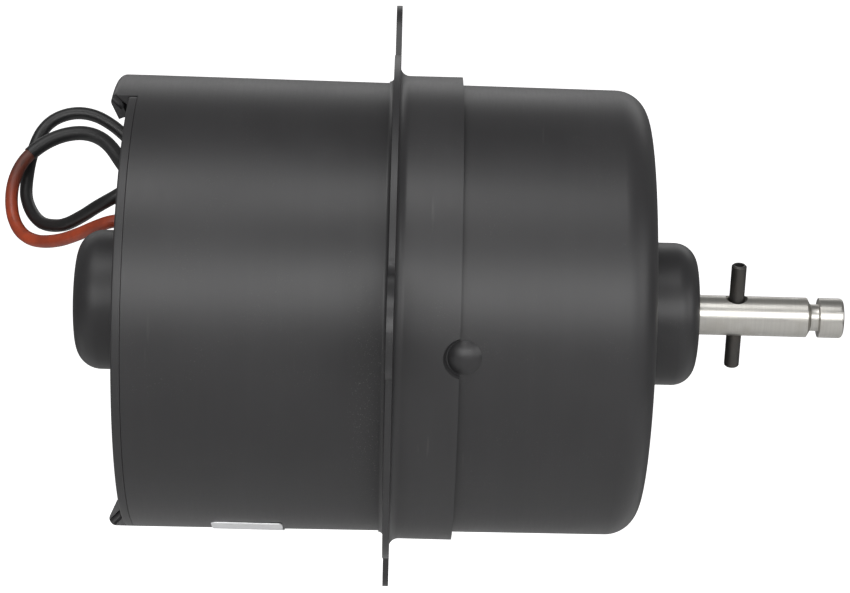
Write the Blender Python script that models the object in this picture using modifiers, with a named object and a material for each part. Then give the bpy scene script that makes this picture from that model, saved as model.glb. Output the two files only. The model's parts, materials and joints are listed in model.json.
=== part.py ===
"""Radiator fan motor with a crimped can, a staked mounting collar and a cross-pinned shaft.

Units are metres. +X runs along the shaft towards its driving end, +Z is up, and the
origin is on the shaft's axis in the plane of the mounting ears' front faces.
Angles round the shaft are in degrees, from +Y towards +Z.
"""

from math import asin, atan2, cos, pi, radians, sin, sqrt

import bmesh
import bpy
from mathutils import Vector

# Clearances
SEAT_GAP = 0.0003
CRIMP_SIDE_GAP = 0.0006
SLOT_LINER_GAP = 0.0004
AIR_GAP = 0.0008
SHAFT_EXIT_CLEARANCE = 0.0008
BRUSH_SIDE_GAP = 0.0003
BRUSH_BOX_TO_CAN = 0.0015
CARD_TO_CAN = 0.0025
CARD_TO_COMMUTATOR = 0.0006
CARD_HOLE_CLEARANCE = 0.0015
COIL_TO_CASE_FACE = 0.0020
COMMUTATOR_TO_COIL = 0.0028

# Drawn steel can, from its crimped rear rim to the front face
CASE_REAR_DIAMETER = 0.0898
CASE_TAPER = 0.0014
CASE_WALL = 0.0018
CASE_AHEAD_OF_EARS = 0.0492
CASE_CORNER_RADIUS = 0.0058
FRONT_BOSS_DIAMETER = 0.0284
FRONT_BOSS_LENGTH = 0.0112
FRONT_BOSS_CORNER_RADIUS = 0.0045
BOSS_ROOT_RADIUS = 0.0015
BOSS_DOME_RISE = 0.0003

# Crimped tabs at the can's rim
TAB_COUNT = 2
TAB_CENTRE_ANGLE = 101.5
TAB_SPAN = 35.0
TAB_REACH = 0.0052
TAB_CORNER_RADIUS = 0.0008
TAB_BEND = 113.0

# Stamped rear end plate
PLATE_SHEET = 0.0015
PLATE_RIM_WIDTH = 0.0036
PLATE_DISH = 0.0020
REAR_BOSS_DIAMETER = 0.0278
REAR_BOSS_LENGTH = 0.0135
REAR_BOSS_CORNER_RADIUS = 0.0050

# Stamped mounting collar with three ears
COLLAR_SHEET = 0.0012
COLLAR_LENGTH = 0.0125
COLLAR_BEND_RADIUS = 0.0012
FLANGE_LEDGE = 0.0040
EAR_COUNT = 3
EAR_CENTRE_ANGLE = 63.5
EAR_HOLE_BEYOND_RING = 0.0100
EAR_HOLE_DIAMETER = 0.0070
EAR_TIP_RADIUS = 0.0090
EAR_ROOT_RADIUS = 0.0040
STAKE_COUNT = 3
STAKE_ANGLE_FROM_EAR = 8.0
STAKE_AHEAD_OF_BAND = 0.0009
STAKE_DIAMETER = 0.0058
STAKE_HEIGHT = 0.0014
STAKE_NOTCH_GAP = 0.0004
STAKE_FLAT_SHARE = 0.7
STAKE_SLOPE_SHARE = 0.3
STAKE_SHOULDER_SHARE = 0.25
STAKE_ROOT_SHARE_OF_WALL = 0.6

# Blank rating label
LABEL_WIDTH = 0.0142
LABEL_AHEAD_OF_RIM = 0.0155
LABEL_START_ANGLE = 250.0
LABEL_SPAN = 100.0
LABEL_THICKNESS = 0.0002
LABEL_CORNER_RADIUS = 0.0015
LABEL_GLUE_GAP = 0.0002

# Shaft and its cross pin
SHAFT_DIAMETER = 0.00794
SHAFT_STICKOUT = 0.0291
SHAFT_CHAMFER = 0.0007
GROOVE_DEPTH = 0.0013
GROOVE_WIDTH = 0.0023
GROOVE_SLANT = 0.0007
SHAFT_KNOB_LENGTH = 0.0049
PIN_DIAMETER = 0.0030
PIN_LENGTH = 0.0222
PIN_WALL = 0.0006
PIN_SLOT = 0.0005
PIN_FROM_SHAFT_END = 0.0213
PIN_LEAN = 25.0
PIN_HOLE_CHAMFER = 0.0005

# Self-aligning bearings
BUSH_SPHERE_DIAMETER = 0.0160
BUSH_LENGTH = 0.0090
RETAINER_SHEET = 0.0007
RETAINER_RIM_DEPTH = 0.0039
WICK_LENGTH = 0.0066
THRUST_PAD_DIAMETER = 0.0120
THRUST_PAD_THICKNESS = 0.0009
WASHER_DIAMETER = 0.0118
WASHER_THICKNESS = 0.0008
SPACER_DIAMETER = 0.0120

# Armature
CORE_LENGTH = 0.0400
SLOT_COUNT = 12
SLOT_OPENING = 0.0022
SLOT_TIP_DEPTH = 0.0018
SLOT_FLOOR_SHARE_OF_RADIUS = 0.112
TOOTH_SHARE_OF_RADIUS = 0.1666
INSULATOR_THICKNESS = 0.0008
OVERHANG_LENGTH = 0.0106
OVERHANG_BELOW_SLOTS = 0.0040
OVERHANG_BELOW_CORE = 0.0012
OVERHANG_CORNER_RADIUS = 0.0040
WIRES_INTO_OVERHANG = 0.0035

# Commutator
COMMUTATOR_DIAMETER = 0.0250
COMMUTATOR_LENGTH = 0.0180
RISER_HEIGHT = 0.0020
RISER_LENGTH = 0.0020
BAR_SLOT_WIDTH = 0.0007
BAR_SLOT_DEPTH = 0.0016

# Ferrite magnets and the springs between them
MAGNET_ARC = 140.0
MAGNET_THICKNESS = 0.0101
MAGNET_PAST_CORE_FRONT = 0.0080
MAGNET_PAST_CORE_REAR = 0.0060
CLIP_SHEET = 0.0008
CLIP_SHORT_OF_MAGNET_ENDS = 0.0100
CLIP_SHORT_OF_MAGNET_FACE = 0.0031

# Brush card and gear
CARD_THICKNESS = 0.0020
BRUSH_WIDTH = 0.0070
BRUSH_DEPTH = 0.0100
BRUSH_LENGTH = 0.0140
BOX_WALL = 0.0010
BOX_ABOVE_COMMUTATOR = 0.0020
SPRING_WIRE = 0.0006
SPRING_INSIDE_BRUSH = 0.0007
SPRING_COUNT_OF_TURNS = 4
SPRING_END_PITCH = 0.00084
RIVET_COUNT = 3
RIVET_FROM_CARD_EDGE = 0.0065
RIVET_POST_LENGTH = 0.0057
RIVET_SHANK_DIAMETER = 0.0032
RIVET_SHOULDER_DIAMETER = 0.0056
RIVET_HEAD_DIAMETER = 0.0060
RIVET_HEAD_HEIGHT = 0.0012
RIVET_HEAD_EASE = 0.0004

# Leads, grommet and plug
LEAD_DIAMETER = 0.0027
SLEEVE_DIAMETER = 0.0031
SLEEVE_MOUTH_ALONG_LEAD = 0.0635
LEAD_POINT_SPACING = 0.0062
LEAD_STRAIGHT_END = 0.0004
FINE_ROUTE_SPACING = 0.0005
GROMMET_WALL = 0.00115
GROMMET_LIP_WIDTH = 0.0011
GROMMET_LIP = 0.0013
GROMMET_EASE = 0.0004
PLUG_WALL = 0.0015
PLUG_BACK = 0.0060
PLUG_EDGE_RADIUS = 0.0006
CAVITY_WIDTH = 0.0044
CAVITY_THICKNESS = 0.0054
CAVITY_DEPTH = 0.0160
BLADE_WIDTH = 0.0036
BLADE_THICKNESS = 0.0008
BLADE_LENGTH = 0.0125
BLADE_EDGE_RADIUS = 0.0002
LATCH_WIDTH = 0.0050
LATCH_RISE = 0.0012
LATCH_LENGTH = 0.0080
LATCH_FROM_MOUTH = 0.0030
LATCH_STEP = 0.0024

BLACK_LEAD_ROUTE = [
    (-0.0423, 0.0100, 0.0228),
    (-0.0490, 0.0100, 0.0228),
    (-0.0540, 0.0100, 0.0226),
    (-0.0580, 0.0106, 0.0205),
    (-0.0613, 0.0125, 0.0187),
    (-0.0646, 0.0155, 0.0168),
    (-0.0683, 0.0190, 0.0152),
    (-0.0717, 0.0230, 0.0150),
    (-0.0745, 0.0265, 0.0158),
    (-0.0769, 0.0300, 0.0181),
    (-0.0785, 0.0335, 0.0215),
    (-0.0788, 0.0370, 0.0259),
    (-0.0784, 0.0400, 0.0304),
    (-0.0771, 0.0420, 0.0348),
    (-0.0749, 0.0431, 0.0377),
    (-0.0719, 0.0435, 0.0393),
    (-0.0685, 0.0436, 0.0398),
    (-0.0650, 0.0434, 0.0391),
    (-0.0618, 0.0431, 0.0374),
    (-0.0591, 0.0430, 0.0353),
    (-0.0540, 0.0434, 0.0306),
    (-0.0485, 0.0446, 0.0251),
    (-0.0428, 0.0462, 0.0188),
    (-0.0373, 0.0478, 0.0118),
    (-0.0325, 0.0490, 0.0043),
    (-0.0299, 0.0496, -0.0020),
    (-0.0291, 0.0498, -0.0072),
    (-0.0290, 0.0498, -0.0130),
]
ORANGE_LEAD_ROUTE = [
    (-0.0423, 0.0100, 0.0162),
    (-0.0490, 0.0100, 0.0162),
    (-0.0540, 0.0100, 0.0162),
    (-0.0579, 0.0106, 0.0158),
    (-0.0613, 0.0122, 0.0147),
    (-0.0653, 0.0150, 0.0131),
    (-0.0694, 0.0185, 0.0119),
    (-0.0736, 0.0220, 0.0116),
    (-0.0768, 0.0250, 0.0124),
    (-0.0791, 0.0275, 0.0142),
    (-0.0806, 0.0295, 0.0169),
    (-0.0813, 0.0312, 0.0203),
    (-0.0812, 0.0325, 0.0237),
    (-0.0804, 0.0336, 0.0267),
    (-0.0791, 0.0345, 0.0291),
    (-0.0773, 0.0354, 0.0311),
    (-0.0751, 0.0362, 0.0328),
    (-0.0727, 0.0369, 0.0341),
    (-0.0702, 0.0375, 0.0349),
    (-0.0676, 0.0380, 0.0352),
    (-0.0651, 0.0384, 0.0348),
    (-0.0629, 0.0388, 0.0337),
    (-0.0611, 0.0391, 0.0320),
    (-0.0594, 0.0395, 0.0296),
    (-0.0552, 0.0414, 0.0237),
    (-0.0505, 0.0441, 0.0173),
    (-0.0456, 0.0464, 0.0103),
    (-0.0411, 0.0482, 0.0031),
    (-0.0377, 0.0492, -0.0024),
    (-0.0358, 0.0497, -0.0066),
    (-0.0351, 0.0498, -0.0100),
    (-0.0350, 0.0498, -0.0130),
]

# How many times a cutter is as deep as the sheet it goes through
CUTTER_REACH = 3.0

# Facets round a full turn
CAN_FACETS = 40
ARMATURE_FACETS = 2 * SLOT_COUNT
SHAFT_FACETS = 24
SMALL_FACETS = 20
TINY_FACETS = 12
ARC_STEPS = 3
ROOT_STEPS = 2
SHOULDER_STEPS = 4
INNER_STEPS = 1
BALL_STEPS = 4
CLIP_STEPS = 6
TAB_STEPS = 8
RIM_GAP_STEPS = 12
EAR_STEPS = 10
RING_STEPS = 9
MAGNET_STEPS = 20
BLEND_STEPS = 10
LEAD_FACETS = 8
SPRING_FACETS = 6
SPRING_POINT_COUNT_PER_TURN = 8

# Colours, as linear red, green and blue
BLACK_PAINT = (0.012, 0.011, 0.012)
BRIGHT_STEEL = (0.62, 0.61, 0.59)
DARK_STEEL = (0.09, 0.075, 0.06)
CORE_STEEL = (0.22, 0.22, 0.24)
COPPER = (0.62, 0.25, 0.12)
BRONZE = (0.42, 0.24, 0.10)
BRASS = (0.66, 0.47, 0.18)
FERRITE = (0.045, 0.045, 0.05)
CARBON = (0.02, 0.02, 0.022)
CARD_BROWN = (0.16, 0.07, 0.03)
FELT = (0.50, 0.47, 0.40)
RUBBER = (0.010, 0.010, 0.011)
NYLON = (0.75, 0.74, 0.68)
LABEL_SILVER = (0.72, 0.72, 0.74)
LEAD_BLACK = (0.012, 0.012, 0.013)
LEAD_ORANGE = (0.55, 0.09, 0.02)

# A turned profile or an outline is drawn in its local XY or XZ and laid along the shaft
ALONG_SHAFT = (pi / 2, 0.0, pi / 2)

# Places worked out from the sizes above
CASE_FACE_X = CASE_AHEAD_OF_EARS
CASE_REAR_RADIUS = CASE_REAR_DIAMETER / 2
CASE_FRONT_RADIUS = (CASE_REAR_DIAMETER - CASE_TAPER) / 2
CASE_TAPER_END_X = CASE_FACE_X - CASE_CORNER_RADIUS
FRONT_BOSS_END_X = CASE_FACE_X + FRONT_BOSS_LENGTH
COIL_FRONT_X = CASE_FACE_X - CASE_WALL - COIL_TO_CASE_FACE
CORE_FRONT_X = COIL_FRONT_X - OVERHANG_LENGTH - INSULATOR_THICKNESS - 2 * SEAT_GAP
CORE_REAR_X = CORE_FRONT_X - CORE_LENGTH
COIL_REAR_X = CORE_REAR_X - OVERHANG_LENGTH - INSULATOR_THICKNESS - 2 * SEAT_GAP
COMMUTATOR_FRONT_X = COIL_REAR_X - COMMUTATOR_TO_COIL
COMMUTATOR_REAR_X = COMMUTATOR_FRONT_X - COMMUTATOR_LENGTH
CARD_FRONT_X = COMMUTATOR_REAR_X - CARD_TO_COMMUTATOR
CARD_REAR_X = CARD_FRONT_X - CARD_THICKNESS
DISH_INNER_X = CARD_REAR_X - RIVET_POST_LENGTH - 2 * SEAT_GAP
DISH_FACE_X = DISH_INNER_X - PLATE_SHEET
PLATE_FACE_X = DISH_FACE_X - PLATE_DISH
CASE_RIM_X = PLATE_FACE_X + PLATE_SHEET + SEAT_GAP
REAR_BOSS_END_X = DISH_FACE_X - REAR_BOSS_LENGTH
STAKE_X = COLLAR_LENGTH + STAKE_AHEAD_OF_BAND
SHAFT_RADIUS = SHAFT_DIAMETER / 2
SHAFT_END_X = FRONT_BOSS_END_X + SHAFT_STICKOUT
PIN_X = SHAFT_END_X - PIN_FROM_SHAFT_END
ROTOR_BORE_RADIUS = SHAFT_RADIUS + SEAT_GAP
MAGNET_FRONT_X = CORE_FRONT_X + MAGNET_PAST_CORE_FRONT
MAGNET_REAR_X = CORE_REAR_X - MAGNET_PAST_CORE_REAR
COMMUTATOR_RADIUS = COMMUTATOR_DIAMETER / 2
BUSH_RADIUS = BUSH_SPHERE_DIAMETER / 2
BUSH_END_RADIUS = sqrt(BUSH_RADIUS**2 - (BUSH_LENGTH / 2) ** 2)


def case_radius(x):
    """Outside radius of the tapered can at a distance along the shaft."""
    share = (x - CASE_RIM_X) / (CASE_TAPER_END_X - CASE_RIM_X)
    return CASE_REAR_RADIUS + share * (CASE_FRONT_RADIUS - CASE_REAR_RADIUS)


def case_bore(x):
    """Inside radius of the can at a distance along the shaft."""
    return case_radius(x) - CASE_WALL


def arc(centre, radius, start, end, steps=ARC_STEPS):
    """Points of an arc in a plane, angles in degrees."""
    points = []
    for step in range(steps + 1):
        angle = radians(start + (end - start) * step / steps)
        points.append((centre[0] + radius * cos(angle), centre[1] + radius * sin(angle)))
    return points


def polar(radius, angle):
    """Place round the shaft, as (Y, Z), at a radius and an angle in degrees."""
    return radius * cos(radians(angle)), radius * sin(radians(angle))


def clear_scene():
    for old in list(bpy.data.objects):
        bpy.data.objects.remove(old)


def new_collection(name):
    collection = bpy.data.collections.new(name)
    bpy.context.scene.collection.children.link(collection)
    return collection


def finish(name, colour, roughness=0.5, metallic=0.0):
    """A material with one Principled shader."""
    material = bpy.data.materials.new(name)
    material.use_nodes = True
    shader = material.node_tree.nodes["Principled BSDF"]
    shader.inputs["Base Color"].default_value = (*colour, 1.0)
    shader.inputs["Roughness"].default_value = roughness
    shader.inputs["Metallic"].default_value = metallic
    material.diffuse_color = (*colour, 1.0)
    return material


class Workshop:
    """Makes solids in two collections, the motor's own and the cutters'."""

    def __init__(self):
        self.motor = new_collection("radiator_fan_motor")
        self.cutters = new_collection("cutters")

    def place(self, name, data, material, location, rotation):
        piece = bpy.data.objects.new(name, data)
        if material is None:
            self.cutters.objects.link(piece)
            piece.hide_render = True
            piece.display_type = "WIRE"
        else:
            self.motor.objects.link(piece)
            data.materials.append(material)
        piece.location = location
        piece.rotation_euler = rotation
        return piece

    def turned(self, name, profile, material=None, facets=SMALL_FACETS, at=(0, 0, 0), turn=ALONG_SHAFT):
        """A solid turned about its own Z from (radius, height) points, outer side top to bottom."""
        mesh = bpy.data.meshes.new(name)
        form = bmesh.new()
        corners = [form.verts.new((radius, 0.0, height)) for radius, height in profile]
        for first, second in zip(corners, corners[1:]):
            form.edges.new((first, second))
        if profile[0][0] > 0.0:
            form.edges.new((corners[-1], corners[0]))
        form.to_mesh(mesh)
        form.free()
        piece = self.place(name, mesh, material, at, turn)
        screw = piece.modifiers.new("turn", "SCREW")
        screw.steps = facets
        screw.render_steps = facets
        screw.use_merge_vertices = True
        screw.merge_threshold = 0.00001
        screw.use_smooth_shade = False
        return piece

    def outlined(self, name, loops, depth, material=None, at=(0, 0, 0), turn=ALONG_SHAFT):
        """A flat outline with its holes, extruded both ways from its plane to a full depth."""
        curve = bpy.data.curves.new(name, "CURVE")
        curve.dimensions = "2D"
        curve.fill_mode = "BOTH"
        curve.extrude = depth / 2
        for loop in loops:
            spline = curve.splines.new("POLY")
            spline.points.add(len(loop) - 1)
            for point, (across, up) in zip(spline.points, loop):
                point.co = (across, up, 0.0, 1.0)
            spline.use_cyclic_u = True
        return self.meshed(name, curve, material, at, turn)

    def meshed(self, name, curve, material, at, turn):
        """The mesh of a curve with its caps welded on."""
        guide = bpy.data.objects.new(name + "_guide", curve)
        self.cutters.objects.link(guide)
        bpy.context.view_layer.update()
        graph = bpy.context.evaluated_depsgraph_get()
        mesh = bpy.data.meshes.new_from_object(guide.evaluated_get(graph))
        bpy.data.objects.remove(guide)
        bpy.data.curves.remove(curve)
        mesh.name = name
        form = bmesh.new()
        form.from_mesh(mesh)
        bmesh.ops.remove_doubles(form, verts=form.verts, dist=0.000001)
        bmesh.ops.recalc_face_normals(form, faces=form.faces)
        form.to_mesh(mesh)
        form.free()
        return self.place(name, mesh, material, at, turn)

    def box(self, name, size, material=None, at=(0, 0, 0), turn=(0, 0, 0)):
        mesh = bpy.data.meshes.new(name)
        form = bmesh.new()
        bmesh.ops.create_cube(form, size=1.0)
        bmesh.ops.scale(form, vec=size, verts=form.verts)
        form.to_mesh(mesh)
        form.free()
        return self.place(name, mesh, material, at, turn)

    def rod(self, name, radius, length, material=None, facets=TINY_FACETS, at=(0, 0, 0), turn=ALONG_SHAFT):
        mesh = bpy.data.meshes.new(name)
        form = bmesh.new()
        bmesh.ops.create_cone(
            form, cap_ends=True, segments=facets, radius1=radius, radius2=radius, depth=length
        )
        form.to_mesh(mesh)
        form.free()
        return self.place(name, mesh, material, at, turn)

    def tube(self, name, points, diameter, material, facets=LEAD_FACETS):
        """A round wire along a list of points, with closed ends."""
        curve = bpy.data.curves.new(name, "CURVE")
        curve.dimensions = "3D"
        curve.bevel_depth = diameter / 2
        curve.bevel_resolution = facets // 2 - 2
        curve.use_fill_caps = True
        spline = curve.splines.new("POLY")
        spline.points.add(len(points) - 1)
        for point, place in zip(spline.points, points):
            point.co = (*place, 1.0)
        return self.place(name, curve, material, (0, 0, 0), (0, 0, 0))


def combine(piece, tool, operation):
    step = piece.modifiers.new(tool.name, "BOOLEAN")
    step.operation = operation
    step.solver = "EXACT"
    step.object = tool


def cut(piece, *tools):
    for tool in tools:
        combine(piece, tool, "DIFFERENCE")


def add(piece, *tools):
    for tool in tools:
        combine(piece, tool, "UNION")


def soften(piece, width, segments=2):
    """Rounds the sharp edges of a piece."""
    bevel = piece.modifiers.new("edges", "BEVEL")
    bevel.width = width
    bevel.segments = segments
    bevel.limit_method = "ANGLE"


def sector(outer, inner, start, end, steps):
    """Outline of a slice of a ring between two angles."""
    return arc((0, 0), outer, start, end, steps) + arc((0, 0), inner, end, start, steps)


def crimp_profile():
    """Section of the folded rim, from the outside wall round its tip to the inside wall."""
    corner_centre = (CASE_REAR_RADIUS - TAB_CORNER_RADIUS, CASE_RIM_X - TAB_REACH + TAB_CORNER_RADIUS)
    outside = arc(corner_centre, TAB_CORNER_RADIUS, 0, -TAB_BEND)
    along = (-sin(radians(TAB_BEND)), -cos(radians(TAB_BEND)))
    through = (along[1] * CASE_WALL, -along[0] * CASE_WALL)
    fold_r, fold_x = outside[-1]
    leg = (PLATE_FACE_X - SEAT_GAP - fold_x - through[1]) / along[1]
    tip_outside = (fold_r + along[0] * leg, fold_x + along[1] * leg)
    tip_inside = (tip_outside[0] + through[0], tip_outside[1] + through[1])
    wall_r = CASE_REAR_RADIUS - CASE_WALL
    fold_inside = (wall_r, tip_inside[1] + (wall_r - tip_inside[0]) / along[0] * along[1])
    return outside + [tip_outside, tip_inside, fold_inside]


def case_profile():
    """Section of the drawn can, from the shaft hole down the outside and back up the inside."""
    hole = SHAFT_RADIUS + SHAFT_EXIT_CLEARANCE
    boss = FRONT_BOSS_DIAMETER / 2
    dome_edge_x = FRONT_BOSS_END_X - BOSS_DOME_RISE
    corner_centre = (boss - FRONT_BOSS_CORNER_RADIUS, dome_edge_x - FRONT_BOSS_CORNER_RADIUS)
    root_centre = (boss + BOSS_ROOT_RADIUS, CASE_FACE_X + BOSS_ROOT_RADIUS)
    shoulder_centre = (CASE_FRONT_RADIUS - CASE_CORNER_RADIUS, CASE_TAPER_END_X)
    outside = [(hole, FRONT_BOSS_END_X)]
    outside += arc(corner_centre, FRONT_BOSS_CORNER_RADIUS, 90, 0)
    outside += arc(root_centre, BOSS_ROOT_RADIUS, 180, 270, ROOT_STEPS)
    outside += arc(shoulder_centre, CASE_CORNER_RADIUS, 90, 0, SHOULDER_STEPS)
    inside = arc(shoulder_centre, CASE_CORNER_RADIUS - CASE_WALL, 0, 90, ROOT_STEPS)
    inside += arc(root_centre, BOSS_ROOT_RADIUS + CASE_WALL, 270, 180, INNER_STEPS)
    inside += arc(corner_centre, FRONT_BOSS_CORNER_RADIUS - CASE_WALL, 0, 90, INNER_STEPS)
    inside += [(hole, FRONT_BOSS_END_X - CASE_WALL)]
    return outside + crimp_profile() + inside


def stake_angles():
    first = EAR_CENTRE_ANGLE + STAKE_ANGLE_FROM_EAR
    return [first + 360.0 * index / STAKE_COUNT for index in range(STAKE_COUNT)]


def tab_angles():
    return [TAB_CENTRE_ANGLE + 360.0 * index / TAB_COUNT for index in range(TAB_COUNT)]


def stake_turn(angle):
    """Turns a local Z axis outwards along a radius of the shaft."""
    return (radians(angle - 90.0), 0.0, 0.0)


def make_case(shop, paint):
    case = shop.turned("motor_case", case_profile(), paint, CAN_FACETS)
    open_span = 360.0 / TAB_COUNT - TAB_SPAN
    cutter_depth = CUTTER_REACH * TAB_REACH
    for index, angle in enumerate(tab_angles()):
        start = angle + TAB_SPAN / 2
        slice_outline = sector(
            CASE_REAR_RADIUS + CASE_WALL, CASE_REAR_RADIUS / 2, start, start + open_span, RIM_GAP_STEPS
        )
        cut(
            case,
            shop.outlined(
                f"rim_cutter_{index + 1}", [slice_outline], cutter_depth,
                at=(CASE_RIM_X - cutter_depth / 2, 0, 0),
            ),
        )
    for index, angle in enumerate(stake_angles()):
        add(case, stake_dome(shop, f"stake_{index + 1}", angle, 0.0))
        cut(case, stake_dome(shop, f"stake_hollow_{index + 1}", angle, CASE_WALL))
    return case


def stake_dome(shop, name, angle, inset):
    """A round dome pressed out of the can at the collar's edge, or its hollow when inset."""
    can = case_radius(STAKE_X)
    radius = STAKE_DIAMETER / 2 - inset / 2
    top = can + STAKE_HEIGHT - inset
    shoulder = can + STAKE_HEIGHT * STAKE_SHOULDER_SHARE - inset
    foot = can - CASE_WALL * STAKE_ROOT_SHARE_OF_WALL - inset
    profile = [(0.0, top)]
    profile += [(radius * STAKE_FLAT_SHARE, top - (top - shoulder) * STAKE_SLOPE_SHARE)]
    profile += [(radius, shoulder), (radius, foot), (0.0, foot)]
    return shop.turned(name, profile, facets=TINY_FACETS, at=(STAKE_X, 0, 0), turn=stake_turn(angle))


def plate_profile():
    """Section of the dished end plate, from its boss's closed end out to the rim."""
    boss = REAR_BOSS_DIAMETER / 2
    rim = CASE_REAR_RADIUS
    dish = rim - PLATE_RIM_WIDTH
    inner_corner = REAR_BOSS_CORNER_RADIUS - PLATE_SHEET
    end_centre = (boss - REAR_BOSS_CORNER_RADIUS, REAR_BOSS_END_X + BOSS_DOME_RISE + REAR_BOSS_CORNER_RADIUS)
    root_centre = (boss + BOSS_ROOT_RADIUS, DISH_FACE_X - BOSS_ROOT_RADIUS)
    step_outer = CASE_REAR_RADIUS - CASE_WALL - SEAT_GAP
    inside = [(0.0, REAR_BOSS_END_X + PLATE_SHEET)]
    inside += arc(end_centre, inner_corner, 270, 360, ROOT_STEPS)
    inside += arc(root_centre, BOSS_ROOT_RADIUS + PLATE_SHEET, 180, 90, INNER_STEPS)
    inside += [(step_outer, DISH_INNER_X), (step_outer, PLATE_FACE_X + PLATE_SHEET)]
    inside += [(rim, PLATE_FACE_X + PLATE_SHEET)]
    outside = [(rim, PLATE_FACE_X), (dish, PLATE_FACE_X), (dish, DISH_FACE_X)]
    outside += arc(root_centre, BOSS_ROOT_RADIUS, 90, 180, ROOT_STEPS)
    outside += arc(end_centre, REAR_BOSS_CORNER_RADIUS, 360, 270)
    outside += [(0.0, REAR_BOSS_END_X)]
    return inside + outside


def card_radius():
    """Outside radius of the brush card."""
    return case_bore(CARD_FRONT_X) - CARD_TO_CAN


def rivet_places():
    reach = card_radius() - RIVET_FROM_CARD_EDGE
    return [polar(reach, 360.0 * index / RIVET_COUNT) for index in range(RIVET_COUNT)]


def grommet_place():
    """Centre of the grommet, half way between the two leads."""
    black = BLACK_LEAD_ROUTE[0]
    orange = ORANGE_LEAD_ROUTE[0]
    return (black[1] + orange[1]) / 2, (black[2] + orange[2]) / 2


def grommet_neck_radius():
    """Radius of the grommet's neck, which holds both leads."""
    apart = BLACK_LEAD_ROUTE[0][2] - ORANGE_LEAD_ROUTE[0][2]
    return (apart + LEAD_DIAMETER) / 2 + GROMMET_WALL


def make_end_plate(shop, paint):
    plate = shop.turned("rear_end_plate", plate_profile(), paint, CAN_FACETS)
    notch_inner = CASE_REAR_RADIUS - CASE_WALL - SEAT_GAP
    side = CRIMP_SIDE_GAP / CASE_REAR_RADIUS * 180.0 / pi
    for index, angle in enumerate(tab_angles()):
        half = TAB_SPAN / 2 + side
        outline = sector(CASE_REAR_RADIUS + CASE_WALL, notch_inner, angle - half, angle + half, TAB_STEPS)
        cut(
            plate,
            shop.outlined(
                f"tab_notch_{index + 1}", [outline], CUTTER_REACH * PLATE_SHEET,
                at=(PLATE_FACE_X + PLATE_SHEET / 2, 0, 0),
            ),
        )
    across, up = grommet_place()
    hole = grommet_neck_radius() + SEAT_GAP
    middle_x = (DISH_FACE_X + DISH_INNER_X) / 2
    depth = CUTTER_REACH * PLATE_SHEET
    place = (middle_x, across, up)
    cut(plate, shop.rod("grommet_hole", hole, depth, facets=SMALL_FACETS, at=place))
    for index, (across, up) in enumerate(rivet_places()):
        radius = RIVET_SHANK_DIAMETER / 2 + SEAT_GAP
        place = (middle_x, across, up)
        cut(plate, shop.rod(f"plate_rivet_hole_{index + 1}", radius, depth, at=place))
    return plate


def turned_by(points, angle):
    """An outline's points turned round the shaft by an angle in degrees."""
    across, up = cos(radians(angle)), sin(radians(angle))
    return [(x * across - y * up, x * up + y * across) for x, y in points]


def band_radius():
    """Outside radius of the collar's band."""
    return case_radius(0.0) + SEAT_GAP + COLLAR_SHEET


def ring_radius():
    """Outside radius of the collar's flange between the ears."""
    return band_radius() + FLANGE_LEDGE


def ear_hole_radius():
    """Distance from the shaft's axis to the ears' holes."""
    return ring_radius() + EAR_HOLE_BEYOND_RING


def flange_outline():
    """Outline of the ring and its ears: ring arc, root fillet, tip arc and root fillet, three times."""
    hole_circle = ear_hole_radius()
    root_across = EAR_TIP_RADIUS + EAR_ROOT_RADIUS
    root_reach = ring_radius() + EAR_ROOT_RADIUS
    root_along = sqrt(root_reach**2 - root_across**2)
    meet = atan2(root_across, root_along) * 180.0 / pi
    pitch = 360.0 / EAR_COUNT
    ear = arc((root_along, -root_across), EAR_ROOT_RADIUS, 180.0 - meet, 90.0, ROOT_STEPS)
    ear += arc((hole_circle, 0.0), EAR_TIP_RADIUS, -90.0, 90.0, EAR_STEPS)
    ear += arc((root_along, root_across), EAR_ROOT_RADIUS, 270.0, 180.0 + meet, ROOT_STEPS)
    ear += arc((0.0, 0.0), ring_radius(), meet, pitch - meet, RING_STEPS)[1:-1]
    outline = []
    for index in range(EAR_COUNT):
        outline += turned_by(ear, EAR_CENTRE_ANGLE + pitch * index)
    return outline


def ear_places():
    reach = ear_hole_radius()
    return [polar(reach, EAR_CENTRE_ANGLE + 360.0 * index / EAR_COUNT) for index in range(EAR_COUNT)]


def collar_profile():
    """Section of the collar: band, bend and a flange wide enough to hold the ears."""
    outer = band_radius()
    inner = outer - COLLAR_SHEET
    bend_outer = COLLAR_BEND_RADIUS + COLLAR_SHEET
    bend_centre = (outer + COLLAR_BEND_RADIUS, COLLAR_BEND_RADIUS)
    reach = ear_hole_radius() + 2 * EAR_TIP_RADIUS
    profile = [(outer, COLLAR_LENGTH)]
    profile += arc(bend_centre, COLLAR_BEND_RADIUS, 180, 270, ROOT_STEPS)
    profile += [(reach, 0.0), (reach, -COLLAR_SHEET)]
    profile += arc(bend_centre, bend_outer, 270, 180)
    profile += [(inner, COLLAR_LENGTH)]
    return profile


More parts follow.
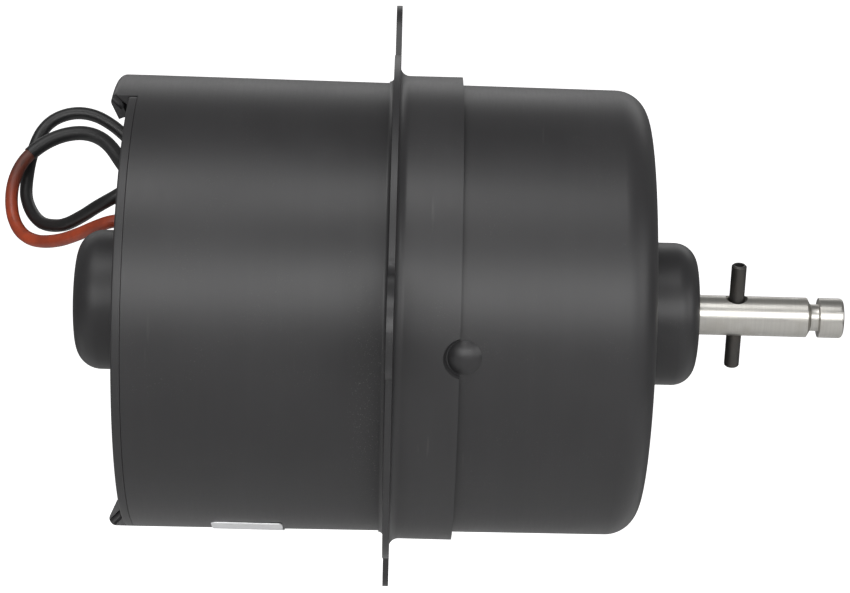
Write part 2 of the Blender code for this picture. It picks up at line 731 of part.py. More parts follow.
def make_collar(shop, paint):
    collar = shop.turned("mounting_collar", collar_profile(), paint, CAN_FACETS)
    blank = shop.outlined("flange_blank", [flange_outline()], CUTTER_REACH * COLLAR_LENGTH)
    combine(collar, blank, "INTERSECT")
    for index, (across, up) in enumerate(ear_places()):
        radius = EAR_HOLE_DIAMETER / 2
        drill = shop.rod(
            f"ear_hole_{index + 1}", radius, CUTTER_REACH * COLLAR_SHEET,
            facets=SMALL_FACETS, at=(0, across, up),
        )
        cut(collar, drill)
    for index, angle in enumerate(stake_angles()):
        across, up = polar(band_radius() - COLLAR_SHEET / 2, angle)
        radius = STAKE_DIAMETER / 2 + STAKE_NOTCH_GAP
        cut(
            collar,
            shop.rod(
                f"stake_notch_{index + 1}", radius, CUTTER_REACH * COLLAR_SHEET,
                facets=SMALL_FACETS, at=(STAKE_X, across, up), turn=stake_turn(angle),
            ),
        )
    return collar


def rounded_rectangle(width, height, radius, steps=ARC_STEPS):
    """Outline of a rectangle with round corners, its low corner at the origin."""
    outline = arc((width - radius, radius), radius, -90, 0, steps)
    outline += arc((width - radius, height - radius), radius, 0, 90, steps)
    outline += arc((radius, height - radius), radius, 90, 180, steps)
    outline += arc((radius, radius), radius, 180, 270, steps)
    return outline


def make_label(shop, paper):
    """A sheet with round corners wrapped on the can."""
    low_x = CASE_RIM_X + LABEL_AHEAD_OF_RIM
    radius = case_radius(low_x) + LABEL_GLUE_GAP
    length = radius * radians(LABEL_SPAN)
    form = bmesh.new()
    outline = rounded_rectangle(LABEL_WIDTH, length, LABEL_CORNER_RADIUS)
    form.faces.new([form.verts.new((x, y, 0.0)) for x, y in outline])
    facet = 2 * pi / CAN_FACETS
    for step in range(1, int(radians(LABEL_SPAN) / facet) + 1):
        bmesh.ops.bisect_plane(
            form, geom=form.verts[:] + form.edges[:] + form.faces[:],
            plane_co=(0.0, step * facet * radius, 0.0), plane_no=(0.0, 1.0, 0.0),
        )
    for corner in form.verts:
        angle = LABEL_START_ANGLE + corner.co.y / radius * 180.0 / pi
        across, up = polar(radius, angle)
        corner.co = Vector((low_x + corner.co.x, across, up))
    bmesh.ops.recalc_face_normals(form, faces=form.faces)
    mesh = bpy.data.meshes.new("rating_label")
    form.to_mesh(mesh)
    form.free()
    label = shop.place("rating_label", mesh, paper, (0, 0, 0), (0, 0, 0))
    thick = label.modifiers.new("thickness", "SOLIDIFY")
    thick.thickness = LABEL_THICKNESS
    first = mesh.polygons[0]
    outward = first.normal.dot(Vector((0.0, first.center.y, first.center.z))) > 0.0
    thick.offset = 1.0 if outward else -1.0
    return label


def shaft_profile():
    """Section of the shaft, from its rounded driving end down past the groove."""
    r = SHAFT_RADIUS
    groove_front = SHAFT_END_X - SHAFT_KNOB_LENGTH
    groove_rear = groove_front - GROOVE_WIDTH
    groove = r - GROOVE_DEPTH
    rear_end = rear_shaft_end_x()
    profile = [(0.0, SHAFT_END_X)]
    profile += arc((r - SHAFT_CHAMFER, SHAFT_END_X - SHAFT_CHAMFER), SHAFT_CHAMFER, 90, 0, ROOT_STEPS)
    profile += [(r, groove_front), (groove, groove_front)]
    profile += [(groove, groove_rear + GROOVE_SLANT), (r, groove_rear)]
    profile += [(r, rear_end + SHAFT_CHAMFER), (r - SHAFT_CHAMFER, rear_end), (0.0, rear_end)]
    return profile


def rear_shaft_end_x():
    """The shaft's rear end, which bears on the thrust pad."""
    return REAR_BOSS_END_X + PLATE_SHEET + THRUST_PAD_THICKNESS + 2 * SEAT_GAP


def pin_turn():
    """Stands a local Z axis up and leans its top towards -Y."""
    return (radians(PIN_LEAN), 0.0, 0.0)


def make_shaft(shop, steel):
    shaft = shop.turned("shaft", shaft_profile(), steel, SHAFT_FACETS)
    hole = PIN_DIAMETER / 2 + SEAT_GAP
    deep = sqrt(SHAFT_RADIUS**2 - hole**2) - PIN_HOLE_CHAMFER
    far = SHAFT_RADIUS + hole
    wide = hole + (far - deep)
    bit = [(0.0, far), (wide, far), (hole, deep), (hole, -deep), (wide, -far), (0.0, -far)]
    cut(shaft, shop.turned("pin_drill", bit, facets=SMALL_FACETS, at=(PIN_X, 0, 0), turn=pin_turn()))
    return shaft


def make_pin(shop, steel):
    outer = PIN_DIAMETER / 2
    inner = outer - PIN_WALL
    half = PIN_LENGTH / 2
    lead_in = PIN_WALL / 2
    profile = [(inner, half), (outer - lead_in, half), (outer, half - lead_in)]
    profile += [(outer, lead_in - half), (outer - lead_in, -half), (inner, -half)]
    pin = shop.turned("cross_pin", profile, steel, SMALL_FACETS, at=(PIN_X, 0, 0), turn=pin_turn())
    slot = shop.box(
        "pin_slot", (PIN_DIAMETER, PIN_SLOT, PIN_LENGTH + PIN_DIAMETER),
        at=(PIN_X - PIN_DIAMETER / 2, 0, 0), turn=pin_turn(),
    )
    cut(pin, slot)
    return pin


def bush_profile(centre):
    """Ball-shaped bush about a centre on the shaft."""
    half = BUSH_LENGTH / 2
    reach = asin(half / BUSH_RADIUS) * 180.0 / pi
    bore = SHAFT_RADIUS + SEAT_GAP
    ball = arc((0.0, centre), BUSH_RADIUS, reach, -reach, BALL_STEPS)
    return ball + [(bore, centre - half), (bore, centre + half)]


def retainer_profile(bush_face, side, bore):
    """Cup that holds the bush: a disc before its inner face with a rim pressed into the boss."""
    near = bush_face - side * SEAT_GAP
    back = near - side * RETAINER_SHEET
    rim_end = near + side * RETAINER_RIM_DEPTH
    outer = bore - SEAT_GAP
    inner = outer - RETAINER_SHEET
    points = [(BUSH_END_RADIUS, back), (outer, back), (outer, rim_end), (inner, rim_end)]
    points += [(inner, near), (BUSH_END_RADIUS, near)]
    return points if side < 0 else points[::-1]


def wick_profile(centre, bore):
    """Felt ring round the bush."""
    outer = bore - RETAINER_SHEET - 2 * SEAT_GAP
    inner = BUSH_RADIUS + SEAT_GAP
    half = WICK_LENGTH / 2
    return [(inner, centre + half), (outer, centre + half), (outer, centre - half), (inner, centre - half)]


def ring_profile(inner, outer, low, high):
    return [(inner, high), (outer, high), (outer, low), (inner, low)]


def front_bush_centre():
    return FRONT_BOSS_END_X - BOSS_DOME_RISE - CASE_WALL - SEAT_GAP - BUSH_LENGTH / 2


def rear_bush_centre():
    clearance = 2 * SEAT_GAP
    return rear_shaft_end_x() + clearance + BUSH_LENGTH / 2


def make_bearings(shop, bronze, spring_steel, felt, nylon):
    places = [
        ("front", front_bush_centre(), 1, FRONT_BOSS_DIAMETER / 2 - CASE_WALL),
        ("rear", rear_bush_centre(), -1, REAR_BOSS_DIAMETER / 2 - PLATE_SHEET),
    ]
    for end, centre, side, bore in places:
        inner_face = centre - side * BUSH_LENGTH / 2
        shop.turned(f"{end}_bearing", bush_profile(centre), bronze)
        shop.turned(f"{end}_bearing_retainer", retainer_profile(inner_face, side, bore), spring_steel)
        shop.turned(f"{end}_oil_wick", wick_profile(centre, bore), felt)
    low = REAR_BOSS_END_X + PLATE_SHEET + SEAT_GAP
    high = low + THRUST_PAD_THICKNESS
    pad = THRUST_PAD_DIAMETER / 2
    shop.turned("thrust_pad", [(0.0, high), (pad, high), (pad, low), (0.0, low)], nylon)


def core_radius():
    """Outside radius of the armature, which turns inside the magnets."""
    return magnet_outer_radius() - MAGNET_THICKNESS - AIR_GAP


def tooth_width():
    return core_radius() * TOOTH_SHARE_OF_RADIUS


def slot_floor_radius():
    """Radius at which the slot between two teeth is as wide as its floor."""
    pitch = pi / SLOT_COUNT
    floor_width = core_radius() * SLOT_FLOOR_SHARE_OF_RADIUS
    return (floor_width / 2 + tooth_width() / 2 * cos(pitch)) / sin(pitch)


def slot_half_width(radius, tooth):
    """Half the width of a slot at a radius, left between two teeth of one width."""
    pitch = pi / SLOT_COUNT
    return radius * sin(pitch) - tooth / 2 * cos(pitch)


def slot_outline(inset):
    """One slot's two lower and two upper corners as (along, across), moved in by an inset."""
    top = core_radius() - SLOT_TIP_DEPTH - inset
    bottom = slot_floor_radius() + inset
    tooth = tooth_width() + 2 * inset
    return [
        (top, -slot_half_width(top, tooth)),
        (bottom, -slot_half_width(bottom, tooth)),
        (bottom, slot_half_width(bottom, tooth)),
        (top, slot_half_width(top, tooth)),
    ]


def lamination_outline():
    """Outline of a lamination with its open slots."""
    radius = core_radius()
    pitch = 360.0 / SLOT_COUNT
    half_opening = SLOT_OPENING / 2
    mouth = asin(half_opening / radius) * 180.0 / pi
    upper = radius - SLOT_TIP_DEPTH
    slot = [(sqrt(radius**2 - half_opening**2), -half_opening), (upper, -half_opening)]
    slot += slot_outline(0.0)
    slot += [(upper, half_opening), (sqrt(radius**2 - half_opening**2), half_opening)]
    slot += arc((0, 0), radius, mouth, pitch - mouth, ROOT_STEPS)[1:-1]
    outline = []
    for index in range(SLOT_COUNT):
        outline += turned_by(slot, pitch * index)
    return outline


def circle(radius, facets=TINY_FACETS):
    return arc((0, 0), radius, 0.0, 360.0 - 360.0 / facets, facets - 1)


def overhang_profile(low, high, round_top):
    """Section of a coil head, rounded on the side that faces away from the core."""
    inner = slot_floor_radius() - OVERHANG_BELOW_SLOTS
    outer = core_radius() - OVERHANG_BELOW_CORE
    corner = OVERHANG_CORNER_RADIUS
    if round_top:
        inner_arc = arc((inner + corner, high - corner), corner, 180, 90, ROOT_STEPS)
        outer_arc = arc((outer - corner, high - corner), corner, 90, 0, ROOT_STEPS)
        return inner_arc + outer_arc + [(outer, low), (inner, low)]
    outer_arc = arc((outer - corner, low + corner), corner, 0, -90, ROOT_STEPS)
    inner_arc = arc((inner + corner, low + corner), corner, 270, 180, ROOT_STEPS)
    return [(inner, high), (outer, high)] + outer_arc + inner_arc


def make_armature(shop, steel, fibre, copper, carbon_copper):
    lamination = [lamination_outline(), circle(ROTOR_BORE_RADIUS)]
    middle = (CORE_REAR_X + CORE_FRONT_X) / 2
    core = shop.outlined("armature_core", lamination, CORE_LENGTH, steel, at=(middle, 0, 0))
    front_low = CORE_FRONT_X + SEAT_GAP
    rear_high = CORE_REAR_X - SEAT_GAP
    half = INSULATOR_THICKNESS / 2
    front = shop.outlined(
        "front_insulator", lamination, INSULATOR_THICKNESS, fibre, at=(front_low + half, 0, 0)
    )
    rear = shop.outlined(
        "rear_insulator", lamination, INSULATOR_THICKNESS, fibre, at=(rear_high - half, 0, 0)
    )
    head_low = front_low + INSULATOR_THICKNESS + SEAT_GAP
    tail_high = rear_high - INSULATOR_THICKNESS - SEAT_GAP
    head = overhang_profile(head_low, COIL_FRONT_X, True)
    tail = overhang_profile(COIL_REAR_X, tail_high, False)
    winding = shop.turned("armature_winding", head, copper, ARMATURE_FACETS)
    add(winding, shop.turned("rear_coil_heads", tail, facets=ARMATURE_FACETS))
    bar = slot_outline(SLOT_LINER_GAP)
    length = head_low - tail_high + 2 * WIRES_INTO_OVERHANG
    for index in range(SLOT_COUNT):
        outline = turned_by(bar, 360.0 * index / SLOT_COUNT)
        place = ((head_low + tail_high) / 2, 0, 0)
        add(winding, shop.outlined(f"slot_wires_{index + 1}", [outline], length, at=place))
    return [core, front, rear, winding, make_commutator(shop, carbon_copper)]


def make_commutator(shop, copper):
    bar = COMMUTATOR_RADIUS
    riser = bar + RISER_HEIGHT
    step = COMMUTATOR_FRONT_X - RISER_LENGTH
    profile = [(ROTOR_BORE_RADIUS, COMMUTATOR_FRONT_X), (riser, COMMUTATOR_FRONT_X), (riser, step)]
    profile += [(bar, step), (bar, COMMUTATOR_REAR_X), (ROTOR_BORE_RADIUS, COMMUTATOR_REAR_X)]
    commutator = shop.turned("commutator", profile, copper, ARMATURE_FACETS)
    floor = bar - BAR_SLOT_DEPTH
    reach = riser + BAR_SLOT_DEPTH
    half = BAR_SLOT_WIDTH / 2
    middle = (COMMUTATOR_FRONT_X + COMMUTATOR_REAR_X) / 2
    slot = [(floor, -half), (reach, -half), (reach, half), (floor, half)]
    slots = [turned_by(slot, 360.0 * (index + 0.5) / SLOT_COUNT) for index in range(SLOT_COUNT)]
    cut(commutator, shop.outlined("bar_slots", slots, CUTTER_REACH * COMMUTATOR_LENGTH, at=(middle, 0, 0)))
    return commutator


def make_shaft_rings(shop, steel, nylon):
    """Thrust washers beside the bearings and the spacers that hold them off the armature."""
    inner = ROTOR_BORE_RADIUS
    washer = WASHER_DIAMETER / 2
    spacer = SPACER_DIAMETER / 2
    front_face = front_bush_centre() - BUSH_LENGTH / 2 - SEAT_GAP
    rear_face = rear_bush_centre() + BUSH_LENGTH / 2 + SEAT_GAP
    front_low = CORE_FRONT_X + SEAT_GAP + INSULATOR_THICKNESS + SEAT_GAP
    front_high = front_face - WASHER_THICKNESS - SEAT_GAP
    rear_low = rear_face + WASHER_THICKNESS + SEAT_GAP
    rear_high = COMMUTATOR_REAR_X - SEAT_GAP
    front_ring = ring_profile(inner, washer, front_face - WASHER_THICKNESS, front_face)
    rear_ring = ring_profile(inner, washer, rear_face, rear_face + WASHER_THICKNESS)
    return [
        shop.turned("front_thrust_washer", front_ring, nylon),
        shop.turned("rear_thrust_washer", rear_ring, nylon),
        shop.turned("front_spacer", ring_profile(inner, spacer, front_low, front_high), steel),
        shop.turned("rear_spacer", ring_profile(inner, spacer, rear_low, rear_high), steel),
    ]


def magnet_outer_radius():
    """The magnets' back, which fits the can's narrow end."""
    return case_bore(MAGNET_FRONT_X) - SEAT_GAP


def make_magnets(shop, ferrite, spring_steel):
    outer = magnet_outer_radius()
    inner = outer - MAGNET_THICKNESS
    middle = (MAGNET_FRONT_X + MAGNET_REAR_X) / 2
    length = MAGNET_FRONT_X - MAGNET_REAR_X
    half = MAGNET_ARC / 2
    for name, centre in (("magnet_far", 0.0), ("magnet_near", 180.0)):
        outline = sector(outer, inner, centre - half, centre + half, MAGNET_STEPS)
        shop.outlined(name, [outline], length, ferrite, at=(middle, 0, 0))
    for name, centre in (("magnet_clip_upper", 90.0), ("magnet_clip_lower", 270.0)):
        make_magnet_clip(shop, name, centre, outer, spring_steel)


def make_magnet_clip(shop, name, centre, outer, spring_steel):
    """A folded spring strip that spreads the two magnets apart."""
    half = 90.0 - MAGNET_ARC / 2
    edge = (SEAT_GAP + CLIP_SHEET / 2) / outer * 180.0 / pi
    path = arc((0, 0), outer - CLIP_SHEET / 2, half - edge, edge - half, CLIP_STEPS)
    leg = MAGNET_THICKNESS - CLIP_SHORT_OF_MAGNET_FACE
    start = turned_by([(outer - leg, 0.0)], half - edge)[0]
    end = turned_by([(outer - leg, 0.0)], edge - half)[0]
    path = turned_by([start] + path + [end], centre)
    mesh = bpy.data.meshes.new(name)
    form = bmesh.new()
    low = MAGNET_REAR_X + CLIP_SHORT_OF_MAGNET_ENDS
    high = MAGNET_FRONT_X - CLIP_SHORT_OF_MAGNET_ENDS
    corners = [form.verts.new((low, across, up)) for across, up in path]
    edges = [form.edges.new(pair) for pair in zip(corners, corners[1:])]
    extruded = bmesh.ops.extrude_edge_only(form, edges=edges)
    moved = [item for item in extruded["geom"] if isinstance(item, bmesh.types.BMVert)]
    bmesh.ops.translate(form, vec=(high - low, 0.0, 0.0), verts=moved)
    bmesh.ops.recalc_face_normals(form, faces=form.faces)
    form.to_mesh(mesh)
    form.free()
    clip = shop.place(name, mesh, spring_steel, (0, 0, 0), (0, 0, 0))
    thick = clip.modifiers.new("thickness", "SOLIDIFY")
    thick.thickness = CLIP_SHEET
    thick.offset = 0.0
    return clip


def rivet_profile():
    """Shouldered rivet from its outer head, through the plate, the post and the card."""
    head = RIVET_HEAD_DIAMETER / 2
    shank = RIVET_SHANK_DIAMETER / 2
    shoulder = RIVET_SHOULDER_DIAMETER / 2
    card_head = CARD_FRONT_X + SEAT_GAP
    plate_head = DISH_FACE_X - SEAT_GAP
    shoulder_high = CARD_REAR_X - SEAT_GAP
    shoulder_low = DISH_INNER_X + SEAT_GAP
    dome = RIVET_HEAD_EASE
    profile = [(0.0, card_head + RIVET_HEAD_HEIGHT), (head - dome, card_head + RIVET_HEAD_HEIGHT)]
    profile += [(head, card_head), (shank, card_head)]
    profile += [(shank, shoulder_high), (shoulder, shoulder_high), (shoulder, shoulder_low)]
    profile += [(shank, shoulder_low), (shank, plate_head), (head, plate_head)]
    profile += [(head, plate_head - dome), (head - dome, plate_head - RIVET_HEAD_HEIGHT)]
    profile += [(0.0, plate_head - RIVET_HEAD_HEIGHT)]
    return profile


def make_card(shop, card_board, steel):
    hole = COMMUTATOR_RADIUS + CARD_HOLE_CLEARANCE
    outline = [circle(card_radius(), CAN_FACETS), circle(hole, SMALL_FACETS)]
    middle = (CARD_FRONT_X + CARD_REAR_X) / 2
    card = shop.outlined("brush_card", outline, CARD_THICKNESS, card_board, at=(middle, 0, 0))
    for index, (across, up) in enumerate(rivet_places()):
        radius = RIVET_SHANK_DIAMETER / 2 + SEAT_GAP
        place = (middle, across, up)
        cut(card, shop.rod(f"card_rivet_hole_{index + 1}", radius, CUTTER_REACH * CARD_THICKNESS, at=place))
        shop.turned(f"card_rivet_{index + 1}", rivet_profile(), steel, TINY_FACETS, at=(0, across, up))
    return card


def brush_tip_radius():
    return COMMUTATOR_RADIUS + SEAT_GAP


def brush_middle_x():
    """Middle of the brushes along the shaft: their boxes stand on the card."""
    return CARD_FRONT_X + SEAT_GAP + BOX_WALL + BRUSH_SIDE_GAP + BRUSH_DEPTH / 2


def make_brush_gear(shop, name, up, brass, carbon, spring_steel):
    """One brush with its box and coil spring, above the shaft for up=1 and below it for up=-1."""
    x = brush_middle_x()
    tip = brush_tip_radius()
    axis = bpy.data.objects.new(f"brush_axis_{name}", None)
    shop.motor.objects.link(axis)
    axis.location = (x, 0, up * tip)
    brush = shop.box(f"brush_{name}", (BRUSH_DEPTH, BRUSH_WIDTH, BRUSH_LENGTH), carbon)
    brush.location = (0, 0, up * BRUSH_LENGTH / 2)
    brush.parent = axis
    hollow_depth = BRUSH_DEPTH + 2 * BRUSH_SIDE_GAP
    hollow_width = BRUSH_WIDTH + 2 * BRUSH_SIDE_GAP
    box_width = hollow_width + 2 * BOX_WALL
    box_top = sqrt((case_bore(CARD_FRONT_X) - BRUSH_BOX_TO_CAN) ** 2 - (box_width / 2) ** 2)
    box_bottom = COMMUTATOR_RADIUS + BOX_ABOVE_COMMUTATOR
    length = box_top - box_bottom
    middle = (box_top + box_bottom) / 2
    holder = shop.box(
        f"brush_box_{name}", (hollow_depth + 2 * BOX_WALL, box_width, length), brass,
        at=(x, 0, up * middle),
    )
    hollow = shop.box(
        f"box_hollow_{name}", (hollow_depth, hollow_width, length), at=(x, 0, up * (middle - BOX_WALL))
    )
    cut(holder, hollow)
    low = tip + BRUSH_LENGTH + SEAT_GAP + SPRING_WIRE / 2
    high = box_top - BOX_WALL - SEAT_GAP - SPRING_WIRE / 2
    coil = coil_points(x, up * low, up * high)
    shop.tube(f"brush_spring_{name}", coil, SPRING_WIRE, spring_steel, SPRING_FACETS)


def coil_points(x, start, end):
    """Points of a coil spring standing along Z, with closed turns at its two ends."""
    per_turn = SPRING_POINT_COUNT_PER_TURN
    radius = BRUSH_WIDTH / 2 - SPRING_INSIDE_BRUSH
    open_turns = SPRING_COUNT_OF_TURNS - 2
    rise = abs(end - start) - 2 * SPRING_END_PITCH
    up = 1 if end > start else -1
    points = []
    for step in range(SPRING_COUNT_OF_TURNS * per_turn + 1):
        turn = step / per_turn
        closed = min(turn, 1.0) + max(turn - 1.0 - open_turns, 0.0)
        opened = min(max(turn - 1.0, 0.0), open_turns)
        height = start + up * (closed * SPRING_END_PITCH + opened * rise / open_turns)
        points.append((x + radius * cos(2 * pi * turn), radius * sin(2 * pi * turn), height))
    return points


def make_grommet(shop, rubber):
    across, up = grommet_place()
    neck = grommet_neck_radius()
    lip = neck + GROMMET_LIP_WIDTH
    top = DISH_INNER_X + SEAT_GAP
    bottom = DISH_FACE_X - SEAT_GAP
    ease = GROMMET_EASE
    profile = [(0.0, top + GROMMET_LIP), (lip - ease, top + GROMMET_LIP), (lip, top + GROMMET_LIP - ease)]
    profile += [(lip, top), (neck, top), (neck, bottom), (lip, bottom)]
    profile += [(lip, bottom - GROMMET_LIP + ease), (lip - ease, bottom - GROMMET_LIP)]
    profile += [(0.0, bottom - GROMMET_LIP)]
    grommet = shop.turned("lead_grommet", profile, rubber, SMALL_FACETS, at=(0, across, up))
    middle = (top + bottom) / 2
    depth = CUTTER_REACH * (top - bottom)
    for name, route in (("black", BLACK_LEAD_ROUTE), ("orange", ORANGE_LEAD_ROUTE)):
        radius = LEAD_DIAMETER / 2 + SEAT_GAP
        place = (middle, route[0][1], route[0][2])
        cut(grommet, shop.rod(f"{name}_lead_hole", radius, depth, at=place))
    return grommet


def smooth_route(points, spacing):
    """Points at an even spacing on one smooth curve through the route's own points."""
    route = [Vector(point) for point in points]
    route = [2 * route[0] - route[1]] + route + [2 * route[-1] - route[-2]]
    dense = []
    for before, start, end, after in zip(route, route[1:], route[2:], route[3:]):
        dense += [blend(before, start, end, after, step / BLEND_STEPS) for step in range(BLEND_STEPS)]
    dense.append(route[-2])
    lengths = [0.0]
    for first, second in zip(dense, dense[1:]):
        lengths.append(lengths[-1] + (second - first).length)
    count = max(2, round(lengths[-1] / spacing))
    return [at_length(dense, lengths, lengths[-1] * step / count) for step in range(count + 1)]


def blend(before, start, end, after, share):
    """A point of the smooth curve between two route points, a share of the way along."""
    slope_start = (end - before) / 2
    slope_end = (after - start) / 2
    square = share * share
    cube = square * share
    return (
        (2 * cube - 3 * square + 1) * start
        + (cube - 2 * square + share) * slope_start
        + (3 * square - 2 * cube) * end
        + (cube - square) * slope_end
    )


def at_length(points, lengths, wanted):
    """The point at a length along a list of points."""
    for index in range(1, len(points)):
        if lengths[index] >= wanted:
            step = lengths[index] - lengths[index - 1]
            share = (wanted - lengths[index - 1]) / step if step else 0.0
            return points[index - 1].lerp(points[index], share)
    return points[-1]


def stretch(points, start, end=None):
    """The part of a route between two lengths along it, or on to the route's own end."""
    fine = smooth_route(points, FINE_ROUTE_SPACING)
    lengths = [0.0]
    for first, second in zip(fine, fine[1:]):
        lengths.append(lengths[-1] + (second - first).length)
    end = lengths[-1] if end is None else end
    count = max(2, round((end - start) / LEAD_POINT_SPACING))
    places = [start + (end - start) * step / count for step in range(count + 1)]
    places[1:1] = [start + LEAD_STRAIGHT_END]
    places[-1:-1] = [end - LEAD_STRAIGHT_END]
    return [at_length(fine, lengths, place) for place in places]


def make_leads(shop, black, orange, sleeve):
    shop.tube("black_lead", smooth_route(BLACK_LEAD_ROUTE, LEAD_POINT_SPACING), LEAD_DIAMETER, black)
    bare = stretch(ORANGE_LEAD_ROUTE, 0.0, SLEEVE_MOUTH_ALONG_LEAD)
    covered = stretch(ORANGE_LEAD_ROUTE, SLEEVE_MOUTH_ALONG_LEAD + SEAT_GAP)
    shop.tube("orange_lead", bare, LEAD_DIAMETER, orange)
    shop.tube("lead_sleeve", covered, SLEEVE_DIAMETER, sleeve)


def make_plug(shop, plastic, brass):
    """Two-way plug at the leads' far ends, hanging behind the can."""
    black = Vector(BLACK_LEAD_ROUTE[-1])
    orange = Vector(ORANGE_LEAD_ROUTE[-1])
    middle = (black + orange) / 2
    top = middle.z - SEAT_GAP
    bottom = top - PLUG_BACK - CAVITY_DEPTH
    width = abs(black.x - orange.x) + CAVITY_WIDTH + 2 * PLUG_WALL
    thickness = CAVITY_THICKNESS + 2 * PLUG_WALL
    housing = shop.box(
        "plug_housing", (width, thickness, top - bottom), plastic,
        at=(middle.x, middle.y, (top + bottom) / 2),
    )
    soften(housing, PLUG_EDGE_RADIUS)
    latch_low = bottom + LATCH_FROM_MOUTH
    latch = (("latch_tongue", LATCH_RISE / 2, LATCH_LENGTH), ("latch_step", LATCH_RISE, LATCH_STEP))
    for name, rise, length in latch:
        place = (middle.x, middle.y + thickness / 2, latch_low + length / 2)
        add(housing, shop.box(name, (LATCH_WIDTH, 2 * rise, length), at=place))
    for name, lead in (("black", black), ("orange", orange)):
        cavity = shop.box(
            f"{name}_cavity", (CAVITY_WIDTH, CAVITY_THICKNESS, 2 * CAVITY_DEPTH),
            at=(lead.x, middle.y, bottom),
        )
        cut(housing, cavity)
        blade_top = bottom + CAVITY_DEPTH - SEAT_GAP
        blade = shop.box(
            f"{name}_terminal", (BLADE_WIDTH, BLADE_THICKNESS, BLADE_LENGTH), brass,
            at=(lead.x, middle.y, blade_top - BLADE_LENGTH / 2),
        )
        soften(blade, BLADE_EDGE_RADIUS, 1)


def hang_on_axis(shop, name, pieces):
    """Parents the turning pieces to an empty on the shaft's axis."""
    axis = bpy.data.objects.new(name, None)
    shop.motor.objects.link(axis)
    for piece in pieces:
        piece.parent = axis


def main():
    clear_scene()
    shop = Workshop()
    make_case(shop, finish("case_paint", BLACK_PAINT, 0.45))
    make_end_plate(shop, finish("plate_paint", BLACK_PAINT, 0.45))
    make_collar(shop, finish("collar_paint", BLACK_PAINT, 0.42))
    make_label(shop, finish("label_film", LABEL_SILVER, 0.4))
    turning = [
        make_shaft(shop, finish("shaft_steel", BRIGHT_STEEL, 0.2, 1.0)),
        make_pin(shop, finish("pin_steel", DARK_STEEL, 0.5, 0.8)),
    ]
    turning += make_armature(
        shop,
        finish("lamination_steel", CORE_STEEL, 0.5, 1.0),
        finish("slot_fibre", CARD_BROWN, 0.8),
        finish("winding_copper", COPPER, 0.35, 1.0),
        finish("commutator_copper", COPPER, 0.3, 1.0),
    )
    turning += make_shaft_rings(
        shop,
        finish("spacer_steel", CORE_STEEL, 0.4, 1.0),
        finish("washer_nylon", NYLON, 0.5),
    )
    hang_on_axis(shop, "rotor_axis", turning)
    make_bearings(
        shop,
        finish("bearing_bronze", BRONZE, 0.5, 1.0),
        finish("retainer_steel", CORE_STEEL, 0.4, 1.0),
        finish("wick_felt", FELT, 0.95),
        finish("thrust_nylon", NYLON, 0.5),
    )
    make_magnets(shop, finish("magnet_ferrite", FERRITE, 0.7), finish("clip_steel", CORE_STEEL, 0.4, 1.0))
    make_card(shop, finish("card_fibre", CARD_BROWN, 0.7), finish("rivet_steel", BRIGHT_STEEL, 0.4, 1.0))
    brass = finish("box_brass", BRASS, 0.4, 1.0)
    carbon = finish("brush_carbon", CARBON, 0.8)
    spring_steel = finish("spring_steel", CORE_STEEL, 0.3, 1.0)
    for name, up in (("upper", 1), ("lower", -1)):
        make_brush_gear(shop, name, up, brass, carbon, spring_steel)
    make_grommet(shop, finish("grommet_rubber", RUBBER, 0.7))
    make_leads(
        shop,
        finish("black_insulation", LEAD_BLACK, 0.45),
        finish("orange_insulation", LEAD_ORANGE, 0.45),
        finish("sleeve_plastic", LEAD_BLACK, 0.5),
    )
    make_plug(shop, finish("plug_plastic", NYLON, 0.45), finish("terminal_brass", BRASS, 0.35, 1.0))


main()
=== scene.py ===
"""Looks of the radiator fan motor: its paint, metals, wires and light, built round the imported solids.

Units are metres. +X runs along the shaft to its driving end, +Z is up and the camera looks along +Y.
Angles round the shaft are in degrees, from +Y towards +Z.
"""

import json
import logging
from dataclasses import dataclass
from enum import Enum
from functools import cache, cached_property
from math import atan, atan2, cos, degrees, pi, radians, sin, sqrt, tan
from typing import Any, Iterable, Optional, Sequence, Union

import bmesh
import bpy
from mathutils import Matrix, Vector

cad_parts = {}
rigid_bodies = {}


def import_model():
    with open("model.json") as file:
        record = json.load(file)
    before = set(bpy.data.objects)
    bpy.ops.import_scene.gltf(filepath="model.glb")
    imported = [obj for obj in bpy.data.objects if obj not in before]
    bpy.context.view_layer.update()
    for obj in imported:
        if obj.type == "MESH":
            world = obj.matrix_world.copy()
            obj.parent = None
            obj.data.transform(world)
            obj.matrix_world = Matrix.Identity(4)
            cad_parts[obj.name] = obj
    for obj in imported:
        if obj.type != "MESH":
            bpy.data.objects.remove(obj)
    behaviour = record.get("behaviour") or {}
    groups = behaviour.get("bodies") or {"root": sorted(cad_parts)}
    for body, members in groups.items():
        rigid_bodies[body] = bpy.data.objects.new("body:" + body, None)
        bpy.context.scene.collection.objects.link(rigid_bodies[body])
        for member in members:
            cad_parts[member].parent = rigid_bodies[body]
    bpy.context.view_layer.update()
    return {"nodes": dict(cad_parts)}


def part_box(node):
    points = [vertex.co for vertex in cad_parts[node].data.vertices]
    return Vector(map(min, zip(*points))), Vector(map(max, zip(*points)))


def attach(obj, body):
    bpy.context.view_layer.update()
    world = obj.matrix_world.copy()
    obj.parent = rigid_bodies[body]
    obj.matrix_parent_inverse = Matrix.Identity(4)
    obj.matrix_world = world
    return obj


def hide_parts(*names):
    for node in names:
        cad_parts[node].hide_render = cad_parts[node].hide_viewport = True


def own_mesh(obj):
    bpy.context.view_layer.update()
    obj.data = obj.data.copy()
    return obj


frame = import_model()

log = logging.getLogger("radiator_fan_motor")
Point2 = tuple[float, float]
Point3 = tuple[float, float, float]
Colour = tuple[float, float, float]
Piece = bpy.types.Object
Paint = bpy.types.Material
Socket = bpy.types.NodeSocket

